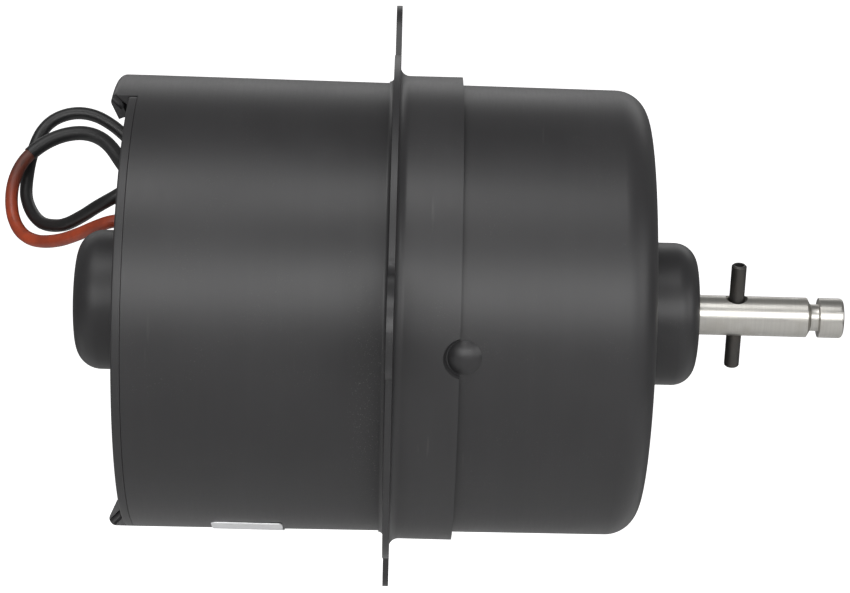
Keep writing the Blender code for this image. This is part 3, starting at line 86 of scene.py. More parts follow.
BLACK_LEAD_ROUTE: list[Point3] = [
    (-0.0423, 0.0100, 0.0228), (-0.0490, 0.0100, 0.0228), (-0.0540, 0.0100, 0.0226),
    (-0.0580, 0.0106, 0.0205), (-0.0613, 0.0125, 0.0187), (-0.0646, 0.0155, 0.0168),
    (-0.0683, 0.0190, 0.0152), (-0.0717, 0.0230, 0.0150), (-0.0745, 0.0265, 0.0158),
    (-0.0769, 0.0300, 0.0181), (-0.0785, 0.0335, 0.0215), (-0.0788, 0.0370, 0.0259),
    (-0.0784, 0.0400, 0.0304), (-0.0771, 0.0420, 0.0348), (-0.0749, 0.0431, 0.0377),
    (-0.0719, 0.0435, 0.0393), (-0.0685, 0.0436, 0.0398), (-0.0650, 0.0434, 0.0391),
    (-0.0618, 0.0431, 0.0374), (-0.0591, 0.0430, 0.0353), (-0.0540, 0.0434, 0.0306),
    (-0.0485, 0.0446, 0.0251), (-0.0428, 0.0462, 0.0188), (-0.0373, 0.0478, 0.0118),
    (-0.0325, 0.0490, 0.0043), (-0.0299, 0.0496, -0.0020), (-0.0291, 0.0498, -0.0072),
    (-0.0290, 0.0498, -0.0130),
]
ORANGE_LEAD_ROUTE: list[Point3] = [
    (-0.0423, 0.0100, 0.0162), (-0.0490, 0.0100, 0.0162), (-0.0540, 0.0100, 0.0162),
    (-0.0579, 0.0106, 0.0158), (-0.0613, 0.0122, 0.0147), (-0.0653, 0.0150, 0.0131),
    (-0.0694, 0.0185, 0.0119), (-0.0736, 0.0220, 0.0116), (-0.0768, 0.0250, 0.0124),
    (-0.0791, 0.0275, 0.0142), (-0.0806, 0.0295, 0.0169), (-0.0813, 0.0312, 0.0203),
    (-0.0812, 0.0325, 0.0237), (-0.0804, 0.0336, 0.0267), (-0.0791, 0.0345, 0.0291),
    (-0.0773, 0.0354, 0.0311), (-0.0751, 0.0362, 0.0328), (-0.0727, 0.0369, 0.0341),
    (-0.0702, 0.0375, 0.0349), (-0.0676, 0.0380, 0.0352), (-0.0651, 0.0384, 0.0348),
    (-0.0629, 0.0388, 0.0337), (-0.0611, 0.0391, 0.0320), (-0.0594, 0.0395, 0.0296),
    (-0.0552, 0.0414, 0.0237), (-0.0505, 0.0441, 0.0173), (-0.0456, 0.0464, 0.0103),
    (-0.0411, 0.0482, 0.0031), (-0.0377, 0.0492, -0.0024), (-0.0358, 0.0497, -0.0066),
    (-0.0351, 0.0498, -0.0100), (-0.0350, 0.0498, -0.0130),
]
SEAT_GAP = 0.0003
LEAD_ACROSS = 0.0027
FULL_TURN = 360.0
CARD_RIVETS = ("card_rivet_1", "card_rivet_2", "card_rivet_3")
OVERRUN = 0.001
THIRD_TURN = 120.0
DISH_OUTSIDE_X = -0.0498
DISH_INSIDE_X = -0.0483
WELD = 0.000002


class Grain(Enum):
    """The way fine marks run on a metal or a board."""

    RINGS = (2600.0, 60.0, 60.0)
    ALONG = (60.0, 2600.0, 2600.0)
    EVEN = (900.0, 900.0, 900.0)
    SHEETS = (0.0, 0.0, 0.0)


class Body(Enum):
    """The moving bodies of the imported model."""

    HOUSING = "housing"
    ROTOR = "rotor"
    UPPER_BRUSH = "upper_brush"
    LOWER_BRUSH = "lower_brush"


class Cut(Enum):
    """What one solid does to another."""

    TAKE = "DIFFERENCE"
    JOIN = "UNION"
    KEEP = "INTERSECT"


class Signal:
    """A number socket of a node tree that is added, multiplied and compared like a number."""

    def __init__(self, wiring: "Wiring", socket: Socket) -> None:
        """Holds the tree that the socket belongs to and the socket itself."""
        self.wiring = wiring
        self.socket = socket

    def through(self, operation: str, *others: Any, clamp: bool = False) -> "Signal":
        """Passes this signal through a Math node.

        Args:
            operation: the Math node's operation.
            others: the node's further values, numbers or signals.
            clamp: whether the result stays between 0 and 1.

        Returns:
            The node's result as a signal.
        """
        return self.wiring.maths(operation, self, *others, clamp=clamp)

    def __add__(self, other: Any) -> "Signal":
        """This signal plus another value, or another value plus this signal."""
        return self.through("ADD", other)

    __radd__ = __add__

    def __sub__(self, other: Any) -> "Signal":
        """This signal less another value."""
        return self.through("SUBTRACT", other)

    def __rsub__(self, other: Any) -> "Signal":
        """Another value less this signal."""
        return self.wiring.maths("SUBTRACT", other, self)

    def __mul__(self, other: Any) -> "Signal":
        """This signal times another value, or another value times this signal."""
        return self.through("MULTIPLY", other)

    __rmul__ = __mul__

    def __truediv__(self, other: Any) -> "Signal":
        """This signal divided by another value."""
        return self.through("DIVIDE", other)

    def __rtruediv__(self, other: Any) -> "Signal":
        """Another value divided by this signal."""
        return self.wiring.maths("DIVIDE", other, self)

    def __pow__(self, other: Any) -> "Signal":
        """This signal raised to a power."""
        return self.through("POWER", other)

    def __abs__(self) -> "Signal":
        """This signal without its sign."""
        return self.through("ABSOLUTE")

    def ramp(self, low: float, high: float) -> "Signal":
        """A smooth step from 0 at one value to 1 at another.

        Args:
            low: the value that gives 0.
            high: the value that gives 1, which may be the smaller one.

        Returns:
            The stepped signal.
        """
        node = self.wiring.node(
            "ShaderNodeMapRange", {"interpolation_type": "SMOOTHSTEP"},
            {"Value": self, "From Min": low, "From Max": high, "To Min": 0.0, "To Max": 1.0},
        )
        return Signal(self.wiring, node.outputs["Result"])


class Wiring:
    """A node tree with one way to add any node."""

    def __init__(self, tree: bpy.types.NodeTree) -> None:
        """Starts from a tree that may already hold nodes."""
        self.tree = tree

    def node(
        self,
        kind: str,
        settings: Optional[dict[str, Any]] = None,
        sockets: Optional[dict[Union[str, int], Any]] = None,
    ) -> bpy.types.Node:
        """Adds a node.

        Args:
            kind: the node's type.
            settings: properties that are set before the sockets.
            sockets: values, signals or other sockets for its inputs, by name or number.

        Returns:
            The new node.
        """
        made = self.tree.nodes.new(kind)
        for name, value in (settings or {}).items():
            setattr(made, name, value)
        for name, value in (sockets or {}).items():
            self.feed(made.inputs[name], value)
        return made

    def feed(self, entry: Socket, value: Any) -> None:
        """Links a signal or socket to an input, or sets a plain value on it."""
        if isinstance(value, Signal):
            self.tree.links.new(value.socket, entry)
        elif isinstance(value, Socket):
            self.tree.links.new(value, entry)
        else:
            entry.default_value = value

    def maths(self, operation: str, *values: Any, clamp: bool = False) -> Signal:
        """Adds a Math node.

        Args:
            operation: what the node does.
            values: numbers or signals for its inputs, in order.
            clamp: whether the result stays between 0 and 1.

        Returns:
            The node's result.
        """
        sockets = dict(enumerate(values))
        made = self.node("ShaderNodeMath", {"operation": operation, "use_clamp": clamp}, sockets)
        return Signal(self, made.outputs[0])


class Recipe(Wiring):
    """A material built round one Principled shader."""

    def __init__(self, name: str, roughness: float, metallic: float = 0.0) -> None:
        """Starts a material with constants on the shader's own sockets.

        Args:
            name: the material's name.
            roughness: used where nothing is linked to the shader's Roughness.
            metallic: 0 for paints and plastics, 1 for bare metal.
        """
        self.material = bpy.data.materials.new(name)
        self.material.use_nodes = True
        super().__init__(self.material.node_tree)
        self.shader = self.tree.nodes["Principled BSDF"]
        self.shader.inputs["Roughness"].default_value = roughness
        self.shader.inputs["Metallic"].default_value = metallic
        self.coords = self.node("ShaderNodeTexCoord").outputs["Object"]

    def along(self) -> tuple[Signal, Signal, Signal]:
        """The three object coordinates as signals."""
        parts = self.node("ShaderNodeSeparateXYZ", None, {"Vector": self.coords})
        return tuple(Signal(self, parts.outputs[axis]) for axis in "XYZ")

    def stretched(self, scale: Sequence[float]) -> Socket:
        """Object coordinates multiplied axis by axis."""
        made = self.node("ShaderNodeMapping", None, {"Vector": self.coords, "Scale": scale})
        return made.outputs["Vector"]

    def noise(self, scale: float, detail: float = 2.0, stretch: Sequence[float] = (1.0, 1.0, 1.0)) -> Signal:
        """Cloudy noise.

        Args:
            scale: spots to a metre.
            detail: how many finer layers it has.
            stretch: how the pattern is squeezed along each axis.

        Returns:
            A signal about one half.
        """
        made = self.node(
            "ShaderNodeTexNoise", {"noise_dimensions": "3D"},
            {"Vector": self.stretched(stretch), "Scale": scale, "Detail": detail, "Roughness": 0.55},
        )
        return Signal(self, made.outputs[0])

    def tint(self, share: Any, first: Any, second: Any) -> Socket:
        """Mixes two colours.

        Args:
            share: 0 gives the first, 1 the second.
            first: a colour or a colour socket.
            second: a colour or a colour socket.

        Returns:
            The mixed colour's socket.
        """
        made = self.node("ShaderNodeMix", {"data_type": "RGBA"}, {0: share})
        for entry, colour in ((6, first), (7, second)):
            self.feed(made.inputs[entry], (*colour, 1.0) if isinstance(colour, tuple) else colour)
        return made.outputs[2]

    def relief(self, *layers: tuple[Signal, float]) -> None:
        """Raises the surface by height layers, each with its full height in metres."""
        normal: Any = None
        for height, depth in layers:
            sockets = {"Height": height, "Distance": depth, "Strength": 1.0}
            made = self.node("ShaderNodeBump", None, sockets)
            if normal is not None:
                self.feed(made.inputs["Normal"], normal)
            normal = made.outputs["Normal"]
        self.feed(self.shader.inputs["Normal"], normal)

    def dress(self, **sockets: Any) -> Paint:
        """Sets or links the shader's inputs, named with underscores, and returns the material."""
        for name, value in sockets.items():
            entry = self.shader.inputs[name.replace("_", " ").title().replace("Ior", "IOR")]
            self.feed(entry, (*value, 1.0) if isinstance(value, tuple) else value)
        return self.material


def lightened(colour: Colour, times: float, more: float = 0.0) -> Colour:
    """A colour with each channel multiplied and raised, up to white."""
    return tuple(min(1.0, channel * times + more) for channel in colour)


@dataclass(frozen=True)
class Enamel:
    """Satin black enamel on drawn steel, with settled dust and scuffs."""

    name: str
    colour: Colour = (0.020, 0.0195, 0.0205)
    dusty: Colour = (0.115, 0.112, 0.108)
    scuffed: Colour = (0.12, 0.118, 0.115)
    roughness: float = 0.42
    dust: float = 0.5
    wear: float = 0.6

    def make(self) -> Paint:
        """Builds the paint.

        Returns:
            The material.
        """
        paint = Recipe(self.name, self.roughness)
        x, y, z = paint.along()
        cloud = paint.noise(42.0, 4.0)
        patches = paint.noise(95.0, 3.0).ramp(0.46, 0.66)
        by_flange = (abs(x + 0.0040)).ramp(0.0050, 0.0010) * z.ramp(0.008, -0.006)
        specks = paint.noise(4200.0, 2.0).ramp(0.63, 0.72)
        grit = paint.noise(2300.0, 2.0).ramp(0.66, 0.76)
        settled = (specks * (patches * self.dust + by_flange * 0.8) + grit * by_flange).through(
            "MINIMUM", 1.0
        )
        rolled = paint.noise(1.0, 3.0, (330.0, 20.0, 20.0))
        fine = paint.noise(1.0, 2.0, (2600.0, 160.0, 160.0))
        peel = paint.noise(1050.0, 2.0)
        rub = paint.noise(1.0, 2.0, (900.0, 55.0, 55.0)).ramp(0.68, 0.74)
        rub = rub * paint.noise(60.0, 2.0).ramp(0.55, 0.70)
        base = paint.tint(cloud.ramp(0.3, 0.7), self.colour, lightened(self.colour, 1.18))
        base = paint.tint(rolled.ramp(0.4, 0.75) * 0.3, base, lightened(self.colour, 1.35))
        base = paint.tint(settled * 0.7, base, self.dusty)
        base = paint.tint(rub * self.wear * 0.15, base, self.scuffed)
        shine = self.roughness + (cloud - 0.5) * 0.12 + (fine - 0.5) * 0.06
        shine = shine + settled * 0.3 - rub * self.wear * 0.08
        paint.relief((rolled, 0.00001), (peel, 0.000010), (fine, 0.000004), (settled, 0.000012))
        return paint.dress(base_color=base, roughness=shine)


@dataclass(frozen=True)
class Metal:
    """Bare or plated metal with fine marks, stains and small pits."""

    name: str
    colour: Colour
    stain: Colour
    roughness: float
    grain: Grain = Grain.EVEN
    marks: float = 0.000004
    staining: float = 0.3
    metallic: float = 1.0
    pitting: float = 1.0

    def make(self) -> Paint:
        """Builds the metal.

        Returns:
            The material.
        """
        metal = Recipe(self.name, self.roughness, self.metallic)
        if self.grain is Grain.SHEETS:
            x, _, _ = metal.along()
            fine = (x * (2.0 * pi / 0.0010)).through("SINE") * 0.5 + 0.5
            depth = 0.00008
        else:
            fine = metal.noise(1.0, 3.0, self.grain.value)
            depth = self.marks
        cloud = metal.noise(160.0, 4.0)
        spots = metal.noise(1900.0, 2.0).ramp(0.64, 0.72)
        stained = cloud.ramp(0.45, 0.75) * self.staining + spots * (0.25 * self.pitting)
        base = metal.tint(stained.through("MINIMUM", 1.0), self.colour, self.stain)
        base = metal.tint(fine.ramp(0.35, 0.7) * 0.35, base, lightened(self.colour, 0.82))
        shine = self.roughness + (fine - 0.5) * 0.16 + cloud.ramp(0.4, 0.8) * 0.12
        metal.relief((fine, depth), (spots, 0.000004 * self.pitting))
        return metal.dress(base_color=base, roughness=shine)


@dataclass(frozen=True)
class Moulding:
    """Plastic, rubber, board, felt or ceramic with its own fine surface."""

    name: str
    colour: Colour
    shade: Colour
    roughness: float
    texture: float = 1400.0
    depth: float = 0.000010
    fleck: float = 0.0
    stretch: Point3 = (1.0, 1.0, 1.0)

    def make(self) -> Paint:
        """Builds the material.

        Returns:
            The material.
        """
        stuff = Recipe(self.name, self.roughness)
        skin = stuff.noise(self.texture, 3.0, self.stretch)
        cloud = stuff.noise(110.0, 3.0)
        specks = stuff.noise(self.texture * 1.7, 1.0, self.stretch).ramp(0.62, 0.72)
        base = stuff.tint(cloud.ramp(0.32, 0.72), self.colour, self.shade)
        base = stuff.tint(specks * self.fleck, base, lightened(self.colour, 2.2, 0.05))
        shine = self.roughness + (cloud - 0.5) * 0.12 + (skin - 0.5) * 0.16
        stuff.relief((skin, self.depth), (cloud, self.depth * 2))
        return stuff.dress(base_color=base, roughness=shine)


@dataclass(frozen=True)
class GreyingWire:
    """Orange wire plastic, greyer and darker towards the mouth of its sleeve."""

    name: str
    colour: Colour = (0.42, 0.061, 0.019)
    shade: Colour = (0.26, 0.038, 0.014)
    greyed: Colour = (0.035, 0.020, 0.015)
    roughness: float = 0.40
    clean_below: float = 0.0175
    mouth: float = 0.0300

    def make(self) -> Paint:
        """Builds the plastic.

        Returns:
            The material.
        """
        wire = Recipe(self.name, self.roughness)
        _, _, z = wire.along()
        cloud = wire.noise(190.0, 4.0)
        skin = wire.noise(1100.0, 3.0)
        # Darker and greyer with height: above clean_below the colour turns towards the dark grey-brown one,
        # fully at the height of mouth.
        fade = (z + (cloud - 0.5) * 0.004).ramp(self.clean_below, self.mouth)
        smear = wire.noise(420.0, 3.0).ramp(0.55, 0.72) * 0.35
        base = wire.tint(cloud.ramp(0.3, 0.7), self.colour, self.shade)
        base = wire.tint((fade * 0.8 + smear * 0.5).through("MINIMUM", 0.9), base, self.greyed)
        wire.relief((skin, 0.000008), (cloud, 0.00002))
        return wire.dress(base_color=base, roughness=self.roughness + fade * 0.12 + (skin - 0.5) * 0.1)


@dataclass(frozen=True)
class Film:
    """Blank silver label film with a faint lacquer, creases and rubbed dirt."""

    name: str
    colour: Colour = (0.86, 0.865, 0.88)
    dirt: Colour = (0.45, 0.44, 0.42)
    roughness: float = 0.38

    def make(self) -> Paint:
        """Builds the film.

        Returns:
            The material.
        """
        film = Recipe(self.name, self.roughness, 0.35)
        cloud = film.noise(120.0, 4.0)
        rubbed = film.noise(420.0, 4.0).ramp(0.56, 0.74)
        crease = abs(film.noise(1.0, 3.0, (90.0, 260.0, 260.0)) - 0.5).ramp(0.004, 0.001)
        base = film.tint(rubbed * 0.35, self.colour, self.dirt)
        base = film.tint(crease * 0.25, base, self.dirt)
        shine = self.roughness + (cloud - 0.5) * 0.2 + rubbed * 0.15
        film.relief((cloud, 0.00003), (crease, 0.00001), (film.noise(2600.0, 1.0), 0.000004))
        return film.dress(base_color=base, roughness=shine)


class Blueprint(Wiring):
    """A Geometry Nodes tree with named inputs that ends in Realize Instances and Set Material."""

    def __init__(self, name: str, inputs: dict[str, tuple[str, Any]]) -> None:
        """Starts the tree.

        Args:
            name: the tree's name.
            inputs: for each named input its socket type and first value.
        """
        super().__init__(bpy.data.node_groups.new(name, "GeometryNodeTree"))
        face = self.tree.interface
        face.new_socket("Geometry", in_out="INPUT", socket_type="NodeSocketGeometry")
        for title, (kind, value) in inputs.items():
            entry = face.new_socket(title, in_out="INPUT", socket_type=kind)
            if value is not None:
                entry.default_value = value
        face.new_socket("Material", in_out="INPUT", socket_type="NodeSocketMaterial")
        face.new_socket("Geometry", in_out="OUTPUT", socket_type="NodeSocketGeometry")
        self.entry = self.tree.nodes.new("NodeGroupInput")

    def given(self, title: str) -> Signal:
        """A named input as a signal."""
        return Signal(self, self.entry.outputs[title])

    def vector(self, x: Any, y: Any, z: Any) -> Socket:
        """Three values as one vector socket."""
        return self.node("ShaderNodeCombineXYZ", None, {0: x, 1: y, 2: z}).outputs[0]

    def close(self, geometry: Socket) -> None:
        """Ends the tree with Realize Instances and Set Material."""
        real = self.node("GeometryNodeRealizeInstances", None, {"Geometry": geometry})
        sockets = {"Geometry": real.outputs[0], "Material": self.entry.outputs["Material"]}
        dressed = self.node("GeometryNodeSetMaterial", None, sockets)
        self.node("NodeGroupOutput", None, {0: dressed.outputs[0]})

    def sweep(self, path: Socket, facets: Any, radius: Any) -> None:
        """Ends the tree with a round wire of a number of facets along a curve."""
        size = {"Resolution": facets, "Radius": radius}
        circle = self.node("GeometryNodeCurvePrimitiveCircle", {"mode": "RADIUS"}, size)
        sockets = {"Curve": path, "Profile Curve": circle.outputs[0], "Fill Caps": True}
        self.close(self.node("GeometryNodeCurveToMesh", None, sockets).outputs[0])

    def shape(self, name: str, source: Piece, material: Paint, **values: Any) -> Piece:
        """Runs the tree on a source and keeps the result as a plain mesh.

        Args:
            name: the new piece's name.
            source: the object whose geometry the tree starts from, which is removed.
            material: the finish that Set Material gives.
            values: the tree's inputs by name, with underscores for spaces.

        Returns:
            The new piece, at the origin.
        """
        modifier = source.modifiers.new(self.tree.name, "NODES")
        modifier.node_group = self.tree
        wanted = {key.replace("_", " "): value for key, value in values.items()}
        wanted["Material"] = material
        for item in self.tree.interface.items_tree:
            if item.in_out == "INPUT" and item.name in wanted:
                modifier[item.identifier] = wanted[item.name]
        bpy.context.view_layer.update()
        graph = bpy.context.evaluated_depsgraph_get()
        mesh = bpy.data.meshes.new_from_object(source.evaluated_get(graph))
        source.modifiers.remove(modifier)
        bpy.data.objects.remove(source)
        mesh.name = name
        piece = bpy.data.objects.new(name, mesh)
        bpy.context.scene.collection.objects.link(piece)
        coat(piece, material)
        return piece


def coat(piece: Piece, material: Paint) -> None:
    """Gives every face of a piece the same finish."""
    piece.data.materials.clear()
    piece.data.materials.append(material)
    piece.data.polygons.foreach_set("material_index", [0] * len(piece.data.polygons))


@cache
def turning_tree() -> Blueprint:
    """The tree that turns a section of points, X along and Y outwards, about the shaft's axis.

    Returns:
        The tree.
    """
    tree = Blueprint("turned_about_the_shaft", {"Steps": ("NodeSocketInt", 96)})
    section = tree.entry.outputs["Geometry"]
    columns = tree.given("Steps") + 1
    size = tree.node("GeometryNodeAttributeDomainSize", {"component": "MESH"}, {"Geometry": section})
    rows = Signal(tree, size.outputs["Point Count"])
    grid = tree.node("GeometryNodeMeshGrid", None, {"Vertices X": rows, "Vertices Y": columns})
    index = Signal(tree, tree.node("GeometryNodeInputIndex").outputs[0])
    row = ((index + 0.5) / columns).through("FLOOR")
    angle = (index - row * columns) * (2.0 * pi) / tree.given("Steps")
    sampled = tree.node(
        "GeometryNodeSampleIndex", {"data_type": "FLOAT_VECTOR", "domain": "POINT"},
        {"Geometry": section, "Index": row},
    )
    tree.feed(sampled.inputs["Value"], tree.node("GeometryNodeInputPosition").outputs[0])
    parts = tree.node("ShaderNodeSeparateXYZ", None, {"Vector": sampled.outputs[0]})
    reach = Signal(tree, parts.outputs["Y"])
    place = tree.vector(parts.outputs["X"], reach * angle.through("COSINE"), reach * angle.through("SINE"))
    moved = tree.node("GeometryNodeSetPosition", None, {"Geometry": grid.outputs["Mesh"], "Position": place})
    welded = tree.node("GeometryNodeMergeByDistance", None, {"Geometry": moved.outputs[0], "Distance": WELD})
    tree.close(welded.outputs[0])
    return tree


@cache
def ring_tree() -> Blueprint:
    """The tree that repeats a piece evenly round the shaft, each copy longer than the last if it has growth.

    Returns:
        The tree.
    """
    inputs = {
        "Count": ("NodeSocketInt", 12), "First Angle": ("NodeSocketFloat", 0.0),
        "Growth": ("NodeSocketFloat", 0.0),
    }
    tree = Blueprint("repeated_round_the_shaft", inputs)
    points = tree.node("GeometryNodePoints", None, {"Count": tree.given("Count")})
    index = Signal(tree, tree.node("GeometryNodeInputIndex").outputs[0])
    angle = tree.given("First Angle") + index * (2.0 * pi) / tree.given("Count")
    copies = tree.node(
        "GeometryNodeInstanceOnPoints", None,
        {"Points": points.outputs[0], "Instance": tree.entry.outputs["Geometry"],
         "Rotation": tree.vector(angle, 0.0, 0.0),
         "Scale": tree.vector(index * tree.given("Growth") + 1.0, 1.0, 1.0)},
    )
    tree.close(copies.outputs[0])
    return tree


@cache
def wire_tree() -> Blueprint:
    """The tree that draws a round wire along a line of points.

    Returns:
        The tree.
    """
    inputs = {"Radius": ("NodeSocketFloat", 0.0003), "Facets": ("NodeSocketInt", 10)}
    tree = Blueprint("wire_along_a_path", inputs)
    path = tree.node("GeometryNodeMeshToCurve", None, {"Mesh": tree.entry.outputs["Geometry"]})
    tree.sweep(path.outputs[0], tree.given("Facets"), tree.given("Radius"))
    return tree


@cache
def coil_tree() -> Blueprint:
    """The tree that winds a coil spring of round wire standing along Z.

    Returns:
        The tree.
    """
    inputs = {
        "Turns": ("NodeSocketFloat", 4.0), "Coil Radius": ("NodeSocketFloat", 0.0028),
        "Height": ("NodeSocketFloat", 0.010), "Wire Radius": ("NodeSocketFloat", 0.0003),
        "Closed Pitch": ("NodeSocketFloat", 0.0008),
    }
    tree = Blueprint("coil_spring", inputs)
    steps = 40
    line = tree.node("GeometryNodeCurvePrimitiveLine")
    fine = tree.node(
        "GeometryNodeResampleCurve", None, {"Curve": line.outputs[0], "Count": steps * 4 + 1}
    )
    along = Signal(tree, tree.node("GeometryNodeSplineParameter").outputs["Factor"])
    turn = along * tree.given("Turns")
    closed = turn.through("MINIMUM", 1.0) + (turn - (tree.given("Turns") - 1.0)).through("MAXIMUM", 0.0)
    opened = turn - closed
    rise = tree.given("Height") - tree.given("Closed Pitch") * 2.0
    height = closed * tree.given("Closed Pitch") + opened * rise / (tree.given("Turns") - 2.0)
    angle = turn * (2.0 * pi)
    reach = tree.given("Coil Radius")
    place = tree.vector(reach * angle.through("COSINE"), reach * angle.through("SINE"), height)
    wound = tree.node("GeometryNodeSetPosition", None, {"Geometry": fine.outputs[0], "Position": place})
    tree.sweep(wound.outputs[0], 12, tree.given("Wire Radius"))
    return tree


def arc(centre: Point2, radius: float, start: float, end: float, steps: int = 8) -> list[Point2]:
    """Points of an arc in a plane.

    Args:
        centre: the arc's centre.
        radius: its radius.
        start: its first angle in degrees.
        end: its last angle in degrees.
        steps: how many chords it has.

    Returns:
        The points, ends included.
    """
    points = []
    for step in range(steps + 1):
        angle = radians(start + (end - start) * step / steps)
        points.append((centre[0] + radius * cos(angle), centre[1] + radius * sin(angle)))
    return points


def polar(radius: float, angle: float) -> Point2:
    """Place round the shaft as (Y, Z), at a radius and an angle in degrees."""
    return radius * cos(radians(angle)), radius * sin(radians(angle))


def middle_of(node: str) -> Point3:
    """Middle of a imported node's box."""
    return tuple((low + high) / 2 for low, high in zip(*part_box(node)))


def band(low: Vector, high: Vector, inner: float) -> list[Point2]:
    """Section of a plain ring round the shaft that fills a node's box, from an inner radius outwards."""
    return [(low.x, inner), (low.x, high.y), (high.x, high.y), (high.x, inner)]


def turned_by(points: Iterable[Point2], angle: float) -> list[Point2]:
    """An outline's points turned round the shaft by an angle in degrees."""
    across, up = cos(radians(angle)), sin(radians(angle))
    return [(x * across - y * up, x * up + y * across) for x, y in points]


def eased(points: Sequence[Point2], radius: float, steps: int = 3, closed: bool = True) -> list[Point2]:
    """Rounds the corners of an outline.

    Args:
        points: the outline's corners.
        radius: the rounding, held to two fifths of the shorter side.
        steps: chords for each rounded corner.
        closed: whether the last corner meets the first; if not, both stay as they are.

    Returns:
        The rounded outline; corners of less than 20 degrees stay as they are.
    """
    rounded: list[Point2] = []
    for index, point in enumerate(points):
        if not closed and index in (0, len(points) - 1):
            rounded.append(point)
            continue
        before, after = Vector(points[index - 1]), Vector(points[(index + 1) % len(points)])
        here = Vector(point)
        to_before, to_after = before - here, after - here
        if min(to_before.length, to_after.length) < 1e-7:
            rounded.append(point)
            continue
        bend = pi - to_before.angle(to_after)
        on_axis = point[1] < 1e-9 and min(before[1], after[1]) < 1e-9
        if bend < radians(20.0) or on_axis:
            rounded.append(point)
            continue
        back = min(radius * tan(bend / 2), 0.4 * to_before.length, 0.4 * to_after.length)
        first = here + to_before.normalized() * back
        last = here + to_after.normalized() * back
        for step in range(steps + 1):
            share = step / steps
            place = first * (1 - share) ** 2 + here * 2 * share * (1 - share) + last * share**2
            rounded.append((place.x, place.y))
    return rounded


class Benchwork:
    """Makes plain meshes at the origin and cuts, joins and softens them."""

    def keep(self, name: str, form: bmesh.types.BMesh, material: Optional[Paint] = None) -> Piece:
        """Turns a bmesh into an object and frees it."""
        mesh = bpy.data.meshes.new(name)
        form.to_mesh(mesh)
        form.free()
        if material is not None:
            mesh.materials.append(material)
        piece = bpy.data.objects.new(name, mesh)
        bpy.context.scene.collection.objects.link(piece)
        return piece

    def line(self, *runs: Iterable[Sequence[float]]) -> Piece:
        """Points of two or three numbers joined by edges run by run, as the start of a tree."""
        form = bmesh.new()
        for points in runs:
            corners = [form.verts.new((*point, 0.0)[:3]) for point in points]
            for pair in zip(corners, corners[1:]):
                form.edges.new(pair)
        return self.keep("source", form)

    def turned(self, name: str, section: Sequence[Point2], material: Paint, steps: int = 96) -> Piece:
        """A closed solid turned about the shaft's axis.

        Args:
            name: the piece's name.
            section: closed outline as (along X, radius).
            material: its finish.
            steps: facets round it.

        Returns:
            The piece.
        """
        source = self.line([*section, section[0]])
        piece = turning_tree().shape(name, source, material, Steps=steps)
        self.face_out(piece)
        return piece

    def slab(
        self, name: str, outline: Sequence[Point2], low: float, high: float, material: Optional[Paint] = None
    ) -> Piece:
        """An outline in (Y, Z) extruded between two places along X."""
        form = bmesh.new()
        bottom = [form.verts.new((low, y, z)) for y, z in outline]
        top = [form.verts.new((high, y, z)) for y, z in outline]
        form.faces.new(bottom)
        form.faces.new(top[::-1])
        for index in range(len(outline)):
            after = (index + 1) % len(outline)
            form.faces.new((bottom[index], top[index], top[after], bottom[after]))
        bmesh.ops.recalc_face_normals(form, faces=form.faces)
        return self.keep(name, form, material)

    def rod(self, start: Sequence[float], end: Sequence[float], radius: float, steps: int = 48) -> Piece:
        """A round rod between two points."""
        first, last = Vector(start), Vector(end)
        form = bmesh.new()
        bmesh.ops.create_cone(
            form, cap_ends=True, segments=steps, radius1=radius, radius2=radius, depth=(last - first).length
        )
        turn = (last - first).to_track_quat("Z", "Y").to_matrix().to_4x4()
        form.transform(Matrix.Translation((first + last) / 2) @ turn)
        return self.keep("rod", form)

    def block(
        self, name: str, low: Sequence[float], high: Sequence[float], material: Optional[Paint] = None
    ) -> Piece:
        """A box between two corners."""
        form = bmesh.new()
        bmesh.ops.create_cube(form, size=1.0)
        size = [b - a for a, b in zip(low, high)]
        bmesh.ops.scale(form, vec=size, verts=form.verts)
        bmesh.ops.translate(form, vec=[(a + b) / 2 for a, b in zip(low, high)], verts=form.verts)
        return self.keep(name, form, material)

    def place(self, piece: Piece, matrix: Matrix) -> Piece:
        """Moves a piece's mesh, and leaves its object at the origin."""
        piece.data.transform(matrix)
        return piece

    def face_out(self, piece: Piece) -> None:
        """Makes a closed mesh's faces point outwards."""
        form = bmesh.new()
        form.from_mesh(piece.data)
        bmesh.ops.recalc_face_normals(form, faces=form.faces)
        form.to_mesh(piece.data)
        form.free()

    def settle(self, piece: Piece) -> None:
        """Takes the modifiers' result into the mesh and removes them."""
        bpy.context.view_layer.update()
        graph = bpy.context.evaluated_depsgraph_get()
        mesh = bpy.data.meshes.new_from_object(piece.evaluated_get(graph))
        piece.modifiers.clear()
        piece.data = mesh

    def combine(self, piece: Piece, action: Cut, *tools: Piece) -> None:
        """Cuts or joins tools into a piece and removes them."""
        paint = next(iter(piece.data.materials), None)
        for tool in tools:
            coat(tool, paint)
            step = piece.modifiers.new("step", "BOOLEAN")
            step.operation = action.value
            step.solver = "EXACT"
            step.object = tool
        self.settle(piece)
        coat(piece, paint)
        for tool in tools:
            bpy.data.objects.remove(tool)

    def join(self, name: str, material: Paint, *pieces: Piece) -> Piece:
        """Puts several meshes into one piece of one finish."""
        form = bmesh.new()
        for piece in pieces:
            form.from_mesh(piece.data)
            bpy.data.objects.remove(piece)
        joined = self.keep(name, form, material)
        coat(joined, material)
        return joined

    def repeated(
        self, name: str, piece: Piece, material: Paint,
        count: int, first: float = 0.0, growth: float = 0.0,
    ) -> Piece:
        """Repeats a piece evenly round the shaft, starting at an angle in degrees."""
        start = radians(first)
        return ring_tree().shape(name, piece, material, Count=count, First_Angle=start, Growth=growth)

    def drawn(
        self, name: str, lines: Iterable[Sequence[Sequence[float]]], material: Paint,
        radius: float, facets: int = 8,
    ) -> Piece:
        """Draws round wires along lines of points, as one piece."""
        return wire_tree().shape(name, self.line(*lines), material, Radius=radius, Facets=facets)

